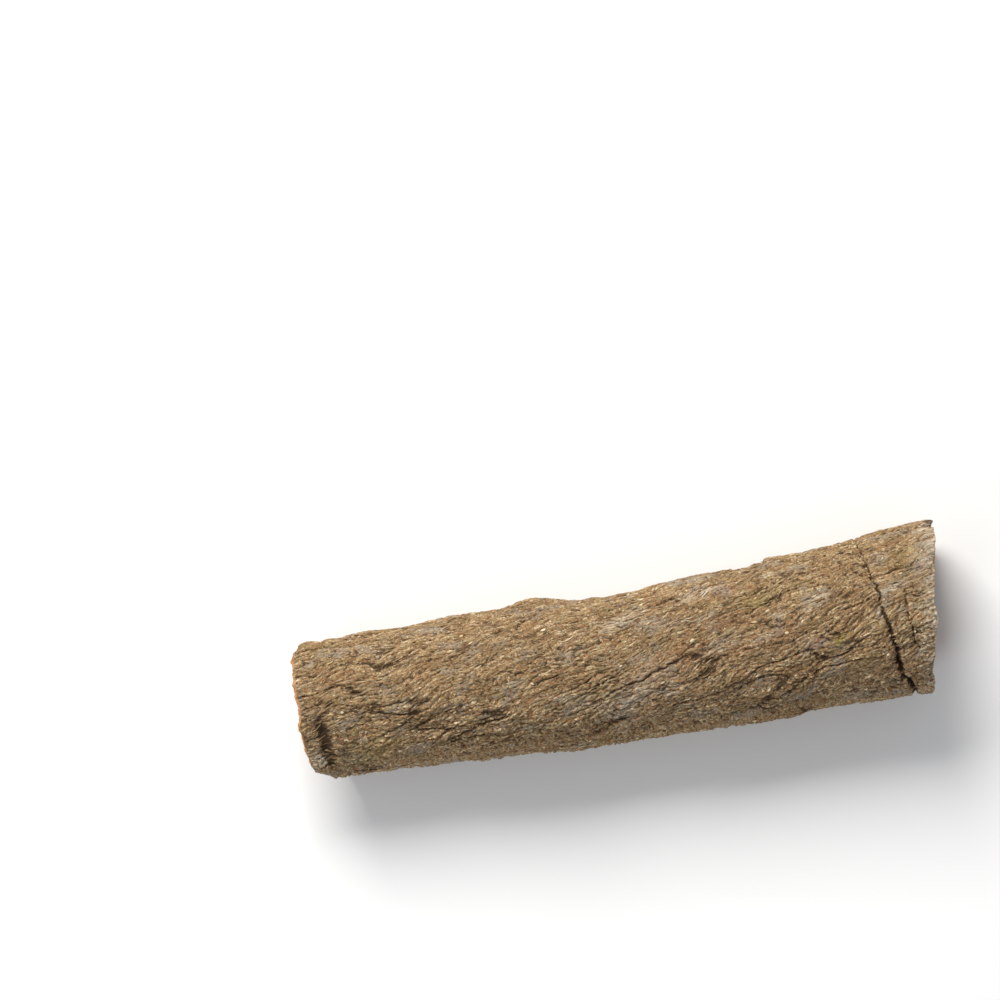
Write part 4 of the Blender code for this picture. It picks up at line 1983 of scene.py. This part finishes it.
@dataclass
class TornFibres(Scatter):
    """Splinters of inner bark that stand out of both torn ends."""

    count: int = 700
    length: tuple[float, float] = (0.5, 1.4)
    width: tuple[float, float] = (0.07, 0.18)
    stand: tuple[float, float] = (-0.35, 0.1)

    def template(self) -> bmesh.types.BMesh:
        """One splinter from 0 to 1 along X, blunt at its tip."""
        mesh = bmesh.new()
        bmesh.ops.create_cone(
            mesh, cap_ends=True, segments=5, radius1=1.0, radius2=0.35, depth=1.0
        )
        long_edges = [e for e in mesh.edges if abs(e.verts[0].co.z - e.verts[1].co.z) > 0.5]
        bmesh.ops.subdivide_edges(mesh, edges=long_edges, cuts=2)
        for vert in mesh.verts:
            vert.co = (vert.co.z + 0.5, vert.co.x, vert.co.y)
        return mesh

    def build(self) -> list[bpy.types.Object]:
        """Scatters and dresses the splinters.

        Returns:
            The splinters, as a list of one object.
        """
        draw = np.random.default_rng(self.seed)
        mesh, shape = self.copies(self.template(), self.count)
        count, size = self.count, len(shape)
        end = np.where(draw.uniform(0, 1, count) < 0.5, -1.0, 1.0)
        across = draw.uniform(-0.97, 0.97, count)
        depth = draw.uniform(0.1, 0.92, count)
        row = np.where(end < 0, self.sheet.thin_end, self.sheet.thick_end)
        rim = self.sheet.from_grid(row, across)
        length = draw.uniform(*self.length, count)
        width = draw.uniform(*self.width, count) / 2
        stand = draw.uniform(*self.stand, count)
        lean = draw.normal(0, 0.12, count)

        pick = np.repeat(np.arange(count), size)
        local = np.tile(shape, (count, 1))
        x = rim.x[pick] + end[pick] * (stand[pick] - (1 - local[:, 0]) * length[pick])
        aside = local[:, 1] * width[pick] + lean[pick] * local[:, 0] * length[pick]
        radius = self.face_radius(rim.x, rim.turn)
        turn = rim.turn[pick] + aside / radius[pick]
        places = self.sheet.at(x, turn)
        height = places.relief * 0.5 - 0.5 - depth[pick] * (places.wall - 0.7)
        height = height + local[:, 2] * width[pick] * 0.8
        points = places.lifted(height, self.sheet.press, self.ground)
        wall_lines = np.stack([x * 0.4, places.girth, depth[pick] * 2.0], 1)
        made = finish_mesh(
            "torn_fibres",
            mesh,
            points,
            {"cut": np.full(len(points), 0.85), "wall_lines": wall_lines},
        )
        made.data.materials.append(InnerBarkFinish().material("torn_fibres"))
        return [made]


@dataclass
class Studio:
    """A pale floor, soft light from the back left, and a camera that looks straight down."""

    roll: float = 9.75
    aim: tuple[float, float] = (-13.0, 24.8)
    scale: float = 0.14
    middle_height: float = 10.5
    lens: float = 300.0
    sensor: float = 36.0
    frame_pixels: int = 1000
    key_place: tuple[float, float, float] = (-0.16, 0.4, 0.37)
    key_size: float = 0.3
    key_power: float = 4.15
    key_colour: tuple[float, float, float] = (1.0, 0.985, 0.95)
    fill_place: tuple[float, float, float] = (-0.4, -0.5, 0.25)
    fill_size: float = 0.5
    fill_power: float = 1.9
    fill_colour: tuple[float, float, float] = (0.9, 0.95, 1.0)
    sky: float = 0.36
    sky_colour: Colour = (0.965, 0.98, 1.0, 1.0)
    floor_half: float = 1.2
    floor_gap: float = 0.05

    def direction(self, right: float, up: float, above: float) -> Vector:
        """A direction in the quill's frame from one in the picture.

        Args:
            right: How far to the picture's right.
            up: How far up the picture.
            above: How far up from the floor.

        Returns:
            The direction.
        """
        angle = math.radians(self.roll)
        across = Vector((math.cos(angle), -math.sin(angle), 0.0))
        upward = Vector((math.sin(angle), math.cos(angle), 0.0))
        return across * right + upward * up + Vector((0.0, 0.0, above))

    def build(self) -> None:
        """Sets up the camera, the floor and the lights."""
        self.add_camera()
        self.add_floor()
        for name, place, size, power, colour in (
            ("key_light", self.key_place, self.key_size, self.key_power, self.key_colour),
            ("fill_light", self.fill_place, self.fill_size, self.fill_power, self.fill_colour),
        ):
            self.add_light(name, place, size, power, colour)
        world = bpy.data.worlds.new("soft_sky")
        world.use_nodes = True
        shade = world.node_tree.nodes["Background"]
        shade.inputs["Color"].default_value = self.sky_colour
        shade.inputs["Strength"].default_value = self.sky
        bpy.context.scene.world = world
        bpy.context.scene.view_settings.view_transform = "Standard"

    def add_camera(self) -> None:
        """Adds the camera, straight above the middle of the photograph's frame."""
        camera = bpy.data.cameras.new("camera")
        camera.lens = self.lens
        camera.sensor_width = self.sensor
        camera.clip_start = 0.01
        width = self.frame_pixels * self.scale * MM
        distance = width * self.lens / self.sensor
        made = bpy.data.objects.new("camera", camera)
        height = distance + self.middle_height * MM
        made.location = (self.aim[0] * MM, self.aim[1] * MM, height)
        made.rotation_euler = (0.0, 0.0, -math.radians(self.roll))
        bpy.context.scene.collection.objects.link(made)
        bpy.context.scene.camera = made

    def add_floor(self) -> None:
        """Adds the floor, just under the quill's flats, so that the two don't coincide."""
        mesh = bmesh.new()
        bmesh.ops.create_grid(mesh, x_segments=1, y_segments=1, size=self.floor_half)
        data = bpy.data.meshes.new("floor")
        mesh.to_mesh(data)
        mesh.free()
        for vert in data.vertices:
            vert.co.z = -self.floor_gap * MM
        data.materials.append(FloorFinish().material())
        floor = bpy.data.objects.new("floor", data)
        bpy.context.scene.collection.objects.link(floor)

    def add_light(
        self,
        name: str,
        offset: tuple[float, float, float],
        size: float,
        power: float,
        colour: tuple[float, float, float],
    ) -> None:
        """Adds a square soft light that faces the quill.

        Args:
            name: The light's name.
            offset: How far it stands to the picture's right, up the picture and above the
                quill, in metres.
            size: The length of its side, in metres.
            power: Its power, in watts.
            colour: Its colour.
        """
        target = Vector((0.0, 0.0, self.middle_height * MM))
        place = target + self.direction(*offset)
        light = bpy.data.lights.new(name, "AREA")
        light.energy = power
        light.size = size
        light.color = colour
        made = bpy.data.objects.new(name, light)
        made.location = place
        made.rotation_euler = (target - place).to_track_quat("-Z", "Y").to_euler()
        bpy.context.scene.collection.objects.link(made)


class Slot(Enum):
    """The record's material slots."""

    BARK = "bark"
    INNER_BARK = "inner_bark"


@dataclass
class CinnamonQuill:
    """The whole quill: its rolled form, and the pieces that dress it."""

    sheet: RolledSheet = field(default_factory=RolledSheet)

    def build(self) -> None:
        """Builds each piece and ties it to the frame."""
        relief = CorkRelief(self.sheet)
        steps: tuple[tuple[Callable[[], list[bpy.types.Object]], Slot], ...] = (
            (CorkSkin(self.sheet, relief).build, Slot.BARK),
            (InnerBark(self.sheet, relief).build, Slot.INNER_BARK),
            (BarkStrands(self.sheet, relief, 11).build, Slot.BARK),
            (CorkFlakes(self.sheet, relief, 23).build, Slot.BARK),
            (TornFibres(self.sheet, relief, 37).build, Slot.INNER_BARK),
        )
        for make, slot in steps:
            for piece in make():
                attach(piece, BODY)
                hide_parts(NODE)
                piece.data.calc_loop_triangles()
                LOG.info("%s: %d triangles", piece.name, len(piece.data.loop_triangles))


def main() -> None:
    """Builds the quill and its studio."""
    logging.basicConfig(level=logging.INFO, format="%(message)s")
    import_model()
    CinnamonQuill().build()
    Studio().build()
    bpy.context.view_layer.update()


if __name__ == "__main__":
    main()
